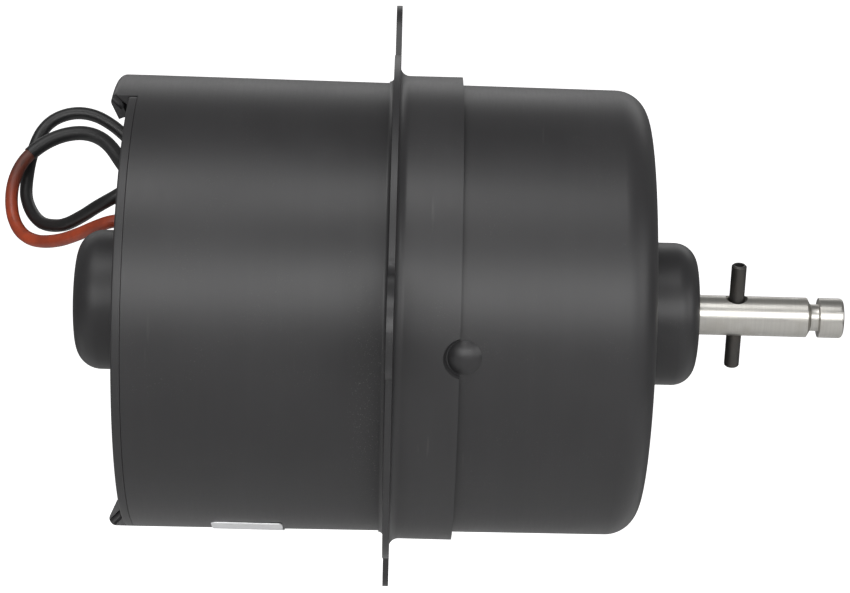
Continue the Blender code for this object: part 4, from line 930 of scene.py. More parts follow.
    def soften(self, piece: Piece, width: float, sharp: float = 40.0, segments: int = 2) -> None:
        """Rounds a mesh's sharp edges.

        Args:
            piece: the piece.
            width: how far the rounding reaches.
            sharp: the least angle of an edge that is rounded, in degrees.
            segments: chords over the rounding.
        """
        form = bmesh.new()
        form.from_mesh(piece.data)
        bmesh.ops.remove_doubles(form, verts=form.verts, dist=WELD)
        bmesh.ops.dissolve_degenerate(form, edges=form.edges, dist=WELD)
        weights = form.edges.layers.float.get("bevel_weight_edge")
        weights = weights or form.edges.layers.float.new("bevel_weight_edge")
        for edge in form.edges:
            edge[weights] = 1.0 if edge.is_manifold and edge.calc_face_angle(0.0) > radians(sharp) else 0.0
        form.to_mesh(piece.data)
        form.free()
        bevel = piece.modifiers.new("edges", "BEVEL")
        bevel.width = width
        bevel.segments = segments
        bevel.limit_method = "WEIGHT"
        bevel.use_clamp_overlap = True
        self.settle(piece)

    def smooth(self, piece: Piece, angle: float = 32.0) -> Piece:
        """Shades a mesh smoothly, apart from edges sharper than an angle in degrees."""
        piece.data.polygons.foreach_set("use_smooth", [True] * len(piece.data.polygons))
        piece.data.set_sharp_from_angle(angle=radians(angle))
        weigh = piece.modifiers.new("flat_faces_lead", "WEIGHTED_NORMAL")
        weigh.keep_sharp = True
        self.settle(piece)
        return piece

    def fit(
        self, piece: Piece, slot: str, node: str, body: Body = Body.HOUSING, angle: float = 32.0
    ) -> Piece:
        """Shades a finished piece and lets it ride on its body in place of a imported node."""
        return show(self.smooth(piece, angle), body, slot, node)


def show(piece: Piece, body: Body, slot: str, *stands_for: str) -> Piece:
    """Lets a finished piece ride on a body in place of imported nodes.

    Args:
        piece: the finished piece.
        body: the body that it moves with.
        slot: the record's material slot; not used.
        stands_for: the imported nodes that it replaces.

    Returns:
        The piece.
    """
    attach(piece, body.value)
    if stands_for:
        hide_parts(*stands_for)
    triangles = sum(len(face.vertices) - 2 for face in piece.data.polygons) if piece.type == "MESH" else 0
    log.info("%s rides on %s, %d triangles", piece.name, body.value, triangles)
    return piece


def dress_node(name: str, material: Paint) -> None:
    """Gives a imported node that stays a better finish."""
    data = frame["nodes"][name].data
    data.materials.clear()
    data.materials.append(material)
    log.info("%s keeps its packed shape", name)


class Finish(Enum):
    """Every finish of the motor."""

    CASE = Enamel("case_enamel")
    PLATE = Enamel("plate_enamel", roughness=0.46)
    COLLAR = Enamel("collar_enamel", (0.022, 0.0215, 0.0225), roughness=0.41, wear=0.9)
    FILM = Film("silver_label_film")
    BRIGHT = Metal(
        "ground_shaft_steel", (0.60, 0.585, 0.55), (0.40, 0.37, 0.32), 0.32, Grain.RINGS, 0.0000015, 0.35,
        pitting=0.15,
    )
    PIN = Metal(
        "blackened_pin_steel", (0.080, 0.077, 0.073), (0.110, 0.094, 0.076), 0.42, Grain.EVEN, 0.000006,
        0.5, 0.8,
    )
    SPRING = Metal("spring_steel", (0.24, 0.235, 0.23), (0.12, 0.10, 0.08), 0.32, Grain.ALONG)
    SHEETS = Metal("lamination_stack", (0.25, 0.25, 0.27), (0.10, 0.085, 0.08), 0.48, Grain.SHEETS)
    ZINC = Metal("zinc_plate", (0.56, 0.57, 0.59), (0.38, 0.37, 0.33), 0.34)
    WIRE = Metal("varnished_copper_wire", (0.62, 0.22, 0.09), (0.33, 0.10, 0.035), 0.30, Grain.EVEN)
    COPPER = Metal(
        "commutator_copper", (0.68, 0.33, 0.19), (0.16, 0.09, 0.06), 0.28, Grain.RINGS, 0.000005, 0.55,
    )
    BRONZE = Metal("sintered_bronze", (0.42, 0.26, 0.12), (0.20, 0.12, 0.05), 0.46, Grain.EVEN, 0.000020)
    BRASS = Metal("pressed_brass", (0.68, 0.49, 0.20), (0.35, 0.22, 0.08), 0.30, Grain.ALONG)
    FERRITE = Moulding(
        "ground_ferrite", (0.050, 0.050, 0.055), (0.075, 0.073, 0.075), 0.62, 2100.0, 0.000018, 0.3,
    )
    CARBON = Moulding(
        "pressed_carbon", (0.028, 0.028, 0.030), (0.055, 0.052, 0.050), 0.55, 2800.0, 0.000012, 0.4,
    )
    BOARD = Moulding(
        "pressed_board", (0.17, 0.075, 0.032), (0.10, 0.042, 0.018), 0.58, 900.0, 0.000012, 0.35,
        stretch=(4.0, 1.0, 0.25),
    )
    FELT = Moulding("oiled_felt", (0.46, 0.41, 0.31), (0.30, 0.25, 0.16), 0.92, 2300.0, 0.00010, 0.5)
    NYLON = Moulding("natural_nylon", (0.76, 0.74, 0.66), (0.66, 0.63, 0.54), 0.42, 1500.0, 0.000008, 0.1)
    RUBBER = Moulding(
        "moulded_rubber", (0.016, 0.016, 0.017), (0.030, 0.029, 0.028), 0.68, 1900.0, 0.000014, 0.25,
    )
    BLACK_INSULATION = Moulding(
        "black_wire_plastic", (0.007, 0.007, 0.0075), (0.012, 0.012, 0.012), 0.42, 900.0, 0.000008, 0.10,
    )
    ORANGE_INSULATION = GreyingWire("orange_wire_plastic")
    SLEEVE = Moulding(
        "shrunk_sleeve", (0.010, 0.010, 0.0105), (0.017, 0.017, 0.017), 0.46, 1300.0, 0.000012, 0.15,
    )
    PLUG = Moulding("plug_nylon", (0.70, 0.67, 0.58), (0.62, 0.59, 0.49), 0.40, 1400.0, 0.000010, 0.12)
    MICA = Moulding("moulded_hub", (0.10, 0.055, 0.030), (0.06, 0.03, 0.016), 0.50, 1300.0, 0.000010, 0.2)

    @cached_property
    def paint(self) -> Paint:
        """The finish as a material, made once."""
        return self.value.make()


@dataclass
class CanShell(Benchwork):
    """Drawn can with its front boss, two crimped tabs and three stakes."""

    rear_radius: float = 0.0449
    front_radius: float = 0.0442
    wall: float = 0.0018
    rim_x: float = -0.0500
    face_x: float = 0.0492
    corner: float = 0.0064
    boss_radius: float = 0.0142
    boss_length: float = 0.0112
    boss_corner: float = 0.0045
    boss_root: float = 0.0015
    dome: float = 0.0003
    hole_radius: float = 0.00477
    tab_centre: float = 101.5
    tab_span: float = 35.0
    tab_reach: float = 0.0052
    tab_corner: float = 0.0014
    relief: float = 0.0008
    tab_bend: float = 113.0
    plate_face_x: float = -0.0518
    stake_x: float = 0.0134
    stake_first: float = 71.5
    stake_radius: float = 0.0032
    stake_height: float = 0.0012
    edge: float = 0.00022
    steps: int = 200

    def wall_places(self) -> list[float]:
        """Places along the wall of the rings that keep its long faces short."""
        stake = 1.35 * self.stake_radius
        return [
            self.rim_x + 0.0008, -0.0380, -0.0260, -0.0140, -0.0020,
            self.stake_x - stake, self.stake_x + stake, 0.0250, 0.0340,
        ]

    def radius_at(self, x: float) -> float:
        """Outside radius of the tapered can at a place along the shaft."""
        share = (x - self.rim_x) / (self.face_x - self.corner - self.rim_x)
        return self.rear_radius + share * (self.front_radius - self.rear_radius)

    def outside(self) -> list[Point2]:
        """Outer line of the section, from the shaft hole to the wall's start.

        Returns:
            Points as (along, radius).
        """
        end = self.face_x + self.boss_length
        crown = end - self.dome
        boss_centre = (crown - self.boss_corner, self.boss_radius - self.boss_corner)
        root_centre = (self.face_x + self.boss_root, self.boss_radius + self.boss_root)
        shoulder = (self.face_x - self.corner, self.front_radius - self.corner)
        lip = 0.0004
        points = [(end - lip, self.hole_radius), (end, self.hole_radius + lip)]
        points += arc(boss_centre, self.boss_corner, 0, 90, 12)
        points += arc(root_centre, self.boss_root, 270, 180, 6)
        points += arc(shoulder, self.corner, 0, 90, 18)
        return points + [(x, self.radius_at(x)) for x in reversed(self.wall_places())]

    def fold(self) -> list[Point2]:
        """Section of the folded rim, from the outside wall round its tip to the inside wall.

        Returns:
            Points as (along, radius).
        """
        centre = (self.rim_x - self.tab_reach + self.tab_corner, self.rear_radius - self.tab_corner)
        outside = arc(centre, self.tab_corner, 90, 90 + self.tab_bend, 8)
        bend = radians(self.tab_bend)
        way = Vector((-cos(bend), -sin(bend)))
        through = Vector((-way.y, way.x)) * self.wall
        fold_point = Vector(outside[-1])
        leg = (self.plate_face_x - SEAT_GAP - fold_point.x - through.x) / way.x
        tip = fold_point + way * leg
        tip_inside = tip + through
        wall_radius = self.rear_radius - self.wall
        corner_x = tip_inside.x + (wall_radius - tip_inside.y) / way.y * way.x
        return outside + [tuple(tip), tuple(tip_inside), (corner_x, wall_radius)]

    def inside(self) -> list[Point2]:
        """Inner line of the section, from the wall back to the shaft hole."""
        crown = self.face_x + self.boss_length - self.dome
        boss_centre = (crown - self.boss_corner, self.boss_radius - self.boss_corner)
        root_centre = (self.face_x + self.boss_root, self.boss_radius + self.boss_root)
        shoulder = (self.face_x - self.corner, self.front_radius - self.corner)
        points = [(x, self.radius_at(x) - self.wall) for x in self.wall_places()]
        points += arc(shoulder, self.corner - self.wall, 90, 0, 8)
        points += arc(root_centre, self.boss_root + self.wall, 180, 270, 6)
        points += arc(boss_centre, self.boss_corner - self.wall, 90, 0, 6)
        return points + [(crown - self.wall, self.hole_radius)]

    def stake_angles(self) -> list[float]:
        """Angles of the three stakes."""
        return [self.stake_first + THIRD_TURN * index for index in range(3)]

    def dome_tool(self, angle: float, inset: float, paint: Paint) -> Piece:
        """A pressed dome standing out of the can, or its hollow when inset."""
        can = self.radius_at(self.stake_x)
        radius = self.stake_radius - inset / 2
        outline = [(can - self.wall * 0.6 - inset, 0.0)]
        for share in (0.0, 0.12, 0.24, 0.36, 0.48, 0.6, 0.7, 0.79, 0.87, 0.93, 0.97, 1.0):
            outline.append((can - inset + self.stake_height * (1.0 - share**2), radius * share))
        outline.append((can - self.wall * 0.6 - inset, radius))
        return self.place(self.turned("stake", outline, paint, 48), self.stake_matrix(angle))

    def stake_matrix(self, angle: float) -> Matrix:
        """Stands the X axis out of the can at a stake."""
        turn = Matrix.Rotation(radians(angle), 4, "X") @ Matrix.Rotation(radians(90), 4, "Z")
        return Matrix.Translation((self.stake_x, 0, 0)) @ turn

    def relief_tool(self, angle: float) -> Piece:
        """The drill for the small notch where a tab's bend ends."""
        across, up = polar(1.0, angle)
        corner = Vector((self.rim_x - self.tab_reach, across * self.rear_radius, up * self.rear_radius))
        way = Vector((1.0, -across, -up)).normalized() * 0.0035
        return self.rod(corner - way, corner + way, self.relief, 24)

    def build(self) -> None:
        """Makes the can."""
        paint = Finish.CASE.paint
        case = self.turned("painted_can", self.outside() + self.fold() + self.inside(), paint, self.steps)
        gap = 180.0 - self.tab_span
        for centre in (self.tab_centre, self.tab_centre + 180.0):
            start = centre + self.tab_span / 2
            slice_outline = arc((0, 0), self.rear_radius + self.wall, start, start + gap, 60)
            slice_outline += arc((0, 0), self.rear_radius / 2, start + gap, start, 60)
            tool = self.slab("rim_gap", slice_outline, self.rim_x - 2 * self.tab_reach, self.rim_x)
            self.combine(case, Cut.TAKE, tool)
            for side in (-self.tab_span / 2, self.tab_span / 2):
                self.combine(case, Cut.TAKE, self.relief_tool(centre + side))
        for angle in self.stake_angles():
            self.combine(case, Cut.JOIN, self.dome_tool(angle, 0.0, paint))
            self.combine(case, Cut.TAKE, self.dome_tool(angle, self.wall, paint))
        self.soften(case, self.edge, 50.0)
        self.fit(case, "black_enamel", "motor_case")


@dataclass
class EndPlate(Benchwork):
    """Dished end plate with the rear bearing's boss."""

    can: CanShell
    sheet: float = 0.0015
    rim_width: float = 0.0036
    dish: float = 0.0020
    boss_radius: float = 0.0139
    boss_length: float = 0.0135
    boss_corner: float = 0.0050
    root: float = 0.0015
    dome: float = 0.0003
    side_gap: float = 0.0006
    rim_gap: float = 0.00006
    grommet_place: Point2 = (0.0100, 0.0195)
    grommet_hole: float = 0.0061
    rivet_hole: float = 0.0019

    def dish_x(self) -> float:
        """Place of the dish's outer face."""
        return self.can.plate_face_x + self.dish

    def section(self) -> list[Point2]:
        """Closed section from the boss's inside out to the rim and back.

        Returns:
            Points as (along, radius).
        """
        rim = self.can.rear_radius
        end = self.dish_x() - self.boss_length
        step_radius = rim - self.can.wall - SEAT_GAP
        end_centre = (end + self.dome + self.boss_corner, self.boss_radius - self.boss_corner)
        root_centre = (self.dish_x() - self.root, self.boss_radius + self.root)
        face = self.can.plate_face_x
        rim_back = self.can.rim_x - self.rim_gap
        inside = arc(end_centre, self.boss_corner - self.sheet, 180, 90, 6)
        inside += arc(root_centre, self.root + self.sheet, 270, 360, 5)
        dish = rim - self.rim_width
        slope = 0.0006
        seat = [(self.dish_x() + self.sheet, step_radius), (rim_back, step_radius)]
        seat += [(rim_back, rim), (face, rim)]
        edge = [seat[-2], (face, rim), (face, dish + slope), (self.dish_x(), dish - slope)]
        outside = arc(root_centre, self.root, 360, 270, 6)
        outside += arc(end_centre, self.boss_corner, 90, 180, 14)
        back = eased([inside[-1], *seat], 0.00015, closed=False)[1:-1]
        front = eased([*edge, outside[0]], 0.0006, closed=False)[1:-1]
        return [(end + self.sheet, 0.0), *inside, *back, *front, *outside, (end, 0.0)]

    def build(self) -> None:
        """Makes the end plate."""
        paint = Finish.PLATE.paint
        plate = self.turned("painted_end_plate", self.section(), paint, self.can.steps)
        notch_floor = self.can.rear_radius - self.can.wall - SEAT_GAP
        side = degrees(self.side_gap / self.can.rear_radius)
        half = self.can.tab_span / 2 + side
        face = self.can.plate_face_x
        for centre in (self.can.tab_centre, self.can.tab_centre + 180.0):
            outline = arc((0, 0), self.can.rear_radius + self.can.wall, centre - half, centre + half, 24)
            outline += arc((0, 0), notch_floor, centre + half, centre - half, 24)
            notch = self.slab("notch", outline, face - self.sheet, face + self.sheet + 0.0002)
            self.combine(plate, Cut.TAKE, notch)
        low, high = self.dish_x() - 2 * self.sheet, self.dish_x() + 3 * self.sheet
        y, z = self.grommet_place
        self.combine(plate, Cut.TAKE, self.rod((low, y, z), (high, y, z), self.grommet_hole))
        for name in CARD_RIVETS:
            _, y, z = middle_of(name)
            self.combine(plate, Cut.TAKE, self.rod((low, y, z), (high, y, z), self.rivet_hole, 32))
        self.soften(plate, 0.00016, 50.0)
        self.fit(plate, "black_enamel", "rear_end_plate")


@dataclass
class Collar(Benchwork):
    """Stamped mounting collar: band, flange ring and three ears."""

    can: CanShell
    sheet: float = 0.0012
    length: float = 0.0125
    bend: float = 0.0019
    bead: float = 0.0009
    ledge: float = 0.0040
    ear_first: float = 63.5
    hole_beyond_ring: float = 0.0100
    hole_radius: float = 0.0035
    tip_radius: float = 0.0092
    root_radius: float = 0.0040
    notch_gap: float = 0.0002
    notch_flare: float = 0.0006
    flange_x: float = 0.0002
    edge: float = 0.00038

    def band_radius(self) -> float:
        """Outside radius of the band."""
        return self.can.radius_at(0.0) + SEAT_GAP + self.sheet

    def ring_radius(self) -> float:
        """Outside radius of the flange between the ears."""
        return self.band_radius() + self.ledge

    def outline(self) -> list[Point2]:
        """Outline of the ring and its ears: ring arc, root fillet, tip arc and root fillet, three times."""
        reach = self.ring_radius() + self.hole_beyond_ring
        root_across = self.tip_radius + self.root_radius
        root_along = sqrt((self.ring_radius() + self.root_radius) ** 2 - root_across**2)
        meet = degrees(atan2(root_across, root_along))
        ear = arc((root_along, -root_across), self.root_radius, 180.0 - meet, 90.0, 10)
        ear += arc((reach, 0.0), self.tip_radius, -90.0, 90.0, 40)
        ear += arc((root_along, root_across), self.root_radius, 270.0, 180.0 + meet, 10)
        ear += arc((0.0, 0.0), self.ring_radius(), meet, THIRD_TURN - meet, 50)[1:-1]
        return [point for index in range(3) for point in turned_by(ear, self.ear_first + THIRD_TURN * index)]

    def section(self) -> list[Point2]:
        """Closed section of band, bend and a wide flange."""
        outer = self.band_radius()
        inner = outer - self.sheet
        centre = (self.flange_x + self.bend, outer + self.bend)
        back = self.flange_x - self.sheet
        bead_centre = (back - self.bead, inner + self.bead)
        reach = self.ring_radius() + self.hole_beyond_ring + 2 * self.tip_radius
        notch = self.can.stake_x - 1.35 * self.can.stake_radius
        points = [(self.length, outer), (notch, outer)] + arc(centre, self.bend, 270, 180, 12)
        points += [(self.flange_x, reach), (back, reach)]
        points += arc(bead_centre, self.bead, 0, -90, 10)
        return points + [(notch, inner), (self.length, inner)]

    def build(self) -> None:
        """Makes the collar."""
        paint = Finish.COLLAR.paint
        collar = self.turned("painted_collar", self.section(), paint, self.can.steps)
        self.combine(collar, Cut.KEEP, self.slab("blank", self.outline(), -0.05, 0.05))
        reach = self.ring_radius() + self.hole_beyond_ring
        for index in range(3):
            y, z = polar(reach, self.ear_first + THIRD_TURN * index)
            self.combine(collar, Cut.TAKE, self.rod((-0.003, y, z), (0.003, y, z), self.hole_radius))
        radius, outer = self.can.stake_radius + self.notch_gap, self.band_radius()
        wide = radius + self.notch_flare
        start, end = 0.040, 0.050
        cutter = [(start, 0.0), (start, radius), (outer - self.sheet, radius)]
        cutter += [(outer, wide), (end, wide), (end, 0.0)]
        for angle in self.can.stake_angles():
            notch = self.turned("notch", cutter, paint, 64)
            self.combine(collar, Cut.TAKE, self.place(notch, self.can.stake_matrix(angle)))
        self.soften(collar, self.edge, 45.0)
        self.fit(collar, "black_enamel", "mounting_collar")


@dataclass
class Label(Benchwork):
    """Blank film label wrapped on the can."""

    can: CanShell
    low_x: float = -0.0345
    width: float = 0.0139
    start: float = 252.3
    span: float = 97.7
    thickness: float = 0.0002
    glue_gap: float = 0.00003
    corner: float = 0.0009

    def build(self) -> None:
        """Makes the label."""
        radius = self.can.radius_at(self.low_x) + self.glue_gap
        length = radius * radians(self.span)
        r = self.corner
        outline = arc((self.width - r, r), r, -90, 0) + arc((self.width - r, length - r), r, 0, 90)
        outline += arc((r, length - r), r, 90, 180) + arc((r, r), r, 180, 270)
        form = bmesh.new()
        form.faces.new([form.verts.new((x, y, 0.0)) for x, y in outline])
        steps = 80
        for step in range(1, steps):
            everything = form.verts[:] + form.edges[:] + form.faces[:]
            place = (0.0, length * step / steps, 0.0)
            bmesh.ops.bisect_plane(form, geom=everything, plane_co=place, plane_no=(0.0, 1.0, 0.0))
        for corner in form.verts:
            y, z = polar(radius, self.start + degrees(corner.co.y / radius))
            corner.co = Vector((self.low_x + corner.co.x, y, z))
        bmesh.ops.recalc_face_normals(form, faces=form.faces)
        form.faces.ensure_lookup_table()
        first = form.faces[0]
        middle = first.calc_center_median()
        outward = first.normal.dot(Vector((0.0, middle.y, middle.z))) > 0.0
        label = self.keep("blank_label", form, Finish.FILM.paint)
        thick = label.modifiers.new("thickness", "SOLIDIFY")
        thick.thickness = self.thickness
        thick.offset = 1.0 if outward else -1.0
        self.settle(label)
        self.fit(label, "label_film", "rating_label", angle=60.0)


@dataclass
class ShaftAndPin(Benchwork):
    """Ground shaft with its groove, and the slotted cross pin."""

    radius: float = 0.00397
    end_x: float = 0.0895
    chamfer: float = 0.0007
    groove_depth: float = 0.0013
    groove_width: float = 0.0023
    groove_slant: float = 0.0007
    knob: float = 0.0049
    pin_x: float = 0.0682
    pin_radius: float = 0.0015
    pin_wall: float = 0.0006
    pin_slot: float = 0.0005
    pin_length: float = 0.0222
    pin_lean: float = 25.0

    def pin_matrix(self) -> Matrix:
        """Stands the X axis up along the leaning pin."""
        lean = Matrix.Rotation(radians(self.pin_lean), 4, "X")
        return Matrix.Translation((self.pin_x, 0, 0)) @ lean @ Matrix.Rotation(radians(-90.0), 4, "Y")

    def build(self) -> None:
        """Makes the shaft and the pin."""
        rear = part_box("shaft")[0].x
        r = self.radius
        front = self.end_x - self.knob
        back = front - self.groove_width
        floor = r - self.groove_depth
        section = [(rear, 0.0), (rear, r - self.chamfer), (rear + self.chamfer, r), (back, r)]
        section += [(back + self.groove_slant, floor), (front, floor), (front, r)]
        section += arc((self.end_x - self.chamfer, r - self.chamfer), self.chamfer, 90, 0, 5)
        section += [(self.end_x, 0.0)]
        shaft = self.turned("ground_shaft", eased(section, 0.00022), Finish.BRIGHT.paint, 72)
        hole = self.pin_radius + SEAT_GAP
        wide, deep = hole + 0.0012, r - 0.0010
        past = r + 2 * OVERRUN
        bit = [(past, 0.0), (past, wide), (deep, hole), (-deep, hole), (-past, wide), (-past, 0.0)]
        drill = self.turned("drill", bit, Finish.BRIGHT.paint, 40)
        self.combine(shaft, Cut.TAKE, self.place(drill, self.pin_matrix()))
        self.soften(shaft, 0.00008, 50.0)
        half = self.pin_length / 2
        inner, outer = self.pin_radius - self.pin_wall, self.pin_radius
        lead_in = self.pin_wall / 2
        tube = [(half, inner), (half, outer - lead_in), (half - lead_in, outer)]
        tube += [(lead_in - half, outer), (-half, outer - lead_in), (-half, inner)]
        pin = self.turned("slotted_pin", eased(tube, 0.00012), Finish.PIN.paint, 48)
        side = self.pin_slot / 2
        slot = self.block("slot", (-self.pin_length, -side, 0.0), (self.pin_length, side, 2 * outer))
        self.combine(pin, Cut.TAKE, slot)
        self.soften(pin, 0.00006, 50.0)
        self.place(pin, self.pin_matrix())
        self.fit(shaft, "shaft_steel", "shaft", body=Body.ROTOR)
        self.fit(pin, "dark_steel", "cross_pin", body=Body.ROTOR)


def flowing(points: Sequence[Point3], spacing: float = 0.0009) -> list[Vector]:
    """Evenly spaced points on one smooth curve through a route.

    Args:
        points: the route.
        spacing: the wanted distance between points.

    Returns:
        The finer route.
    """
    route = [Vector(point) for point in points]
    route = [2 * route[0] - route[1], *route, 2 * route[-1] - route[-2]]
    fine: list[Vector] = []
    for before, start, end, after in zip(route, route[1:], route[2:], route[3:]):
        for step in range(10):
            t = step / 10
            fine.append(
                (2 * t**3 - 3 * t**2 + 1) * start + (t**3 - 2 * t**2 + t) * (end - before) / 2
                + (3 * t**2 - 2 * t**3) * end + (t**3 - t**2) * (after - start) / 2
            )
    fine.append(route[-2])
    reached = [0.0]
    for first, second in zip(fine, fine[1:]):
        reached.append(reached[-1] + (second - first).length)
    count = max(2, round(reached[-1] / spacing))
    places, at = [], 0
    for step in range(count + 1):
        wanted = reached[-1] * step / count
        while at < len(reached) - 2 and reached[at + 1] < wanted:
            at += 1
        share = (wanted - reached[at]) / max(reached[at + 1] - reached[at], 1e-12)
        places.append(fine[at].lerp(fine[at + 1], min(1.0, share)))
    return places


def run_length(points: Sequence[Vector]) -> float:
    """Length of a line of points."""
    return sum((second - first).length for first, second in zip(points, points[1:]))


@dataclass
class Plug(Benchwork):
    """Two-way plug: moulded shell with grip ribs and a latch, and two blade terminals."""

    thickness: float = 0.0084
    back: float = 0.0060
    cavity_width: float = 0.0044
    cavity_thickness: float = 0.0054
    edge: float = 0.0005
    rib_count: int = 3
    rib: float = 0.0005
    latch_width: float = 0.0050
    latch_rise: float = 0.0012
    latch_length: float = 0.0080
    latch_step: float = 0.0024
    latch_from_mouth: float = 0.0030
    hole_from_tip: float = 0.0030
    hole_radius: float = 0.0007
    terminals: tuple[str, str] = ("black_terminal", "orange_terminal")

    def latch(self, x: float, y: float, z: float, plastic: Paint) -> list[Piece]:
        """The latch's springy tongue and its step, standing on the back."""
        made = []
        for rise, length in ((self.latch_rise / 2, self.latch_length), (self.latch_rise, self.latch_step)):
            low = (x - self.latch_width / 2, y - self.edge, z)
            high = (x + self.latch_width / 2, y + rise, z + length)
            tongue = self.block("latch", low, high, plastic)
            self.soften(tongue, self.edge / 2)
            made.append(tongue)
        return made

    def build(self) -> list[Piece]:
        """Makes the plug.

        Returns:
            The shell and the two blades.
        """
        low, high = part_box("plug_housing")
        _, y, _ = middle_of(self.terminals[0])
        front, rear = y - self.thickness / 2, y + self.thickness / 2
        shell = self.block("plug_shell", (low.x, front, low.z), (high.x, rear, high.z), Finish.PLUG.paint)
        self.soften(shell, self.edge, 40.0, 3)
        middle = (low.x + high.x) / 2
        latch = self.latch(middle, rear, low.z + self.latch_from_mouth, Finish.PLUG.paint)
        self.combine(shell, Cut.JOIN, *latch)
        for index in range(self.rib_count):
            z = high.z - self.back / 2 - index * 4 * self.rib
            for side in (low.x, high.x):
                ends = ((side, front - self.rib, z), (side, rear + self.rib, z))
                self.combine(shell, Cut.TAKE, self.rod(*ends, self.rib, 12))
        lead = LEAD_ACROSS / 2 + SEAT_GAP
        for name in self.terminals:
            x, _, _ = middle_of(name)
            half_w, half_t = self.cavity_width / 2, self.cavity_thickness / 2
            mouth = (x - half_w, y - half_t, low.z - self.edge)
            hollow = self.block("hollow", mouth, (x + half_w, y + half_t, high.z - self.back))
            self.soften(hollow, self.edge / 2)
            seat = self.rod((x, y, high.z - self.edge), (x, y, high.z + self.edge), lead, 32)
            self.combine(shell, Cut.TAKE, hollow, seat)
        shown = [self.fit(shell, "nylon", "plug_housing", angle=40.0)]
        for name in self.terminals:
            near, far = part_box(name)
            x, _, _ = middle_of(name)
            blade = self.block(name.replace("terminal", "blade"), near, far, Finish.BRASS.paint)
            z = near.z + self.hole_from_tip
            ends = ((x, near.y - self.edge, z), (x, far.y + self.edge, z))
            self.combine(blade, Cut.TAKE, self.rod(*ends, self.hole_radius, 24))
            self.soften(blade, 0.0002)
            shown.append(self.fit(blade, "brass_sheet", name, angle=40.0))
        return shown


@dataclass
class LeadSet(Benchwork):
    """Two leads through their grommet, the sleeve on one of them and the plug they end in."""

    plug: Plug
    lead: float = LEAD_ACROSS
    sleeve: float = 0.0031
    sleeve_mouth: float = 0.0625
    exit_x: float = -0.0514
    neck: float = 0.0058
    lip: float = 0.0069

    def cord(self, name: str, route: Sequence[Vector], material: Paint) -> Piece:
        """A round wire as a curve of one open spline.

        Args:
            name: the wire's name.
            route: its points.
            material: its plastic.

        Returns:
            The curve's object.
        """
        curve = bpy.data.curves.new(name, "CURVE")
        curve.dimensions = "3D"
        curve.bevel_depth = self.lead / 2
        curve.bevel_resolution = 6
        curve.use_fill_caps = True
        spline = curve.splines.new("POLY")
        spline.points.add(len(route) - 1)
        for point, place in zip(spline.points, route):
            point.co = (*place, 1.0)
        spline.use_smooth = True
        curve.materials.append(material)
        piece = bpy.data.objects.new(name, curve)
        bpy.context.scene.collection.objects.link(piece)
        return piece

    def sleeve_tube(self, route: Sequence[Vector], material: Paint) -> Piece:
        """The sleeve over the covered part of the lead."""
        mouth, walked = [], 0.0
        for first, second in zip(route, route[1:]):
            walked += (second - first).length
            if walked >= self.sleeve_mouth:
                mouth.append(second)
        source = self.line([tuple(point) for point in mouth])
        tube = wire_tree().shape("lead_cover", source, material, Radius=self.sleeve / 2, Facets=24)
        return self.smooth(tube, 50.0)

    def build(self) -> None:
        plug = self.plug.build()
        black = flowing(BLACK_LEAD_ROUTE)
        orange = flowing(ORANGE_LEAD_ROUTE)
        black_cord = self.cord("black_lead_wire", black, Finish.BLACK_INSULATION.paint)
        orange_cord = self.cord("orange_lead_wire", orange, Finish.ORANGE_INSULATION.paint)
        cover = self.sleeve_tube(orange, Finish.SLEEVE.paint)
        show(black_cord, Body.HOUSING, "black_insulation", "black_lead")
        show(orange_cord, Body.HOUSING, "orange_insulation", "orange_lead")
        show(cover, Body.HOUSING, "sleeve_plastic", "lead_sleeve")
        for cord, route, others in ((black_cord, black, plug), (orange_cord, orange, [cover])):
            run_length(route)
        self.grommet(Finish.RUBBER.paint, black[0], orange[0])

    def grommet(self, rubber: Paint, black: Vector, orange: Vector) -> None:
        """Makes the two-hole rubber grommet in the end plate.

        Args:
            rubber: its finish.
            black: where the black lead starts.
            orange: where the orange lead starts.
        """
        low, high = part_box("lead_grommet")
        middle = (low + high) / 2
        sheet = (DISH_OUTSIDE_X - SEAT_GAP, DISH_INSIDE_X + SEAT_GAP)
        crown = 0.0005
        section = [(low.x, 0.0), (low.x, self.lip - crown), (low.x + crown, self.lip), (sheet[0], self.lip)]
        section += [(sheet[0], self.neck), (sheet[1], self.neck), (sheet[1], self.lip)]
        section += [(high.x - crown, self.lip), (high.x, self.lip - crown), (high.x, 0.0)]
        grommet = self.turned("rubber_grommet", eased(section, 0.0004), rubber, 64)
        self.place(grommet, Matrix.Translation((0.0, middle.y, middle.z)))
        for lead in (black, orange):
            ends = ((low.x - OVERRUN, lead.y, lead.z), (high.x + OVERRUN, lead.y, lead.z))
            self.combine(grommet, Cut.TAKE, self.rod(*ends, self.lead / 2 + 0.00005, 40))
        self.soften(grommet, 0.00025, 60.0)
        self.fit(grommet, "grommet_rubber", "lead_grommet", angle=40.0)


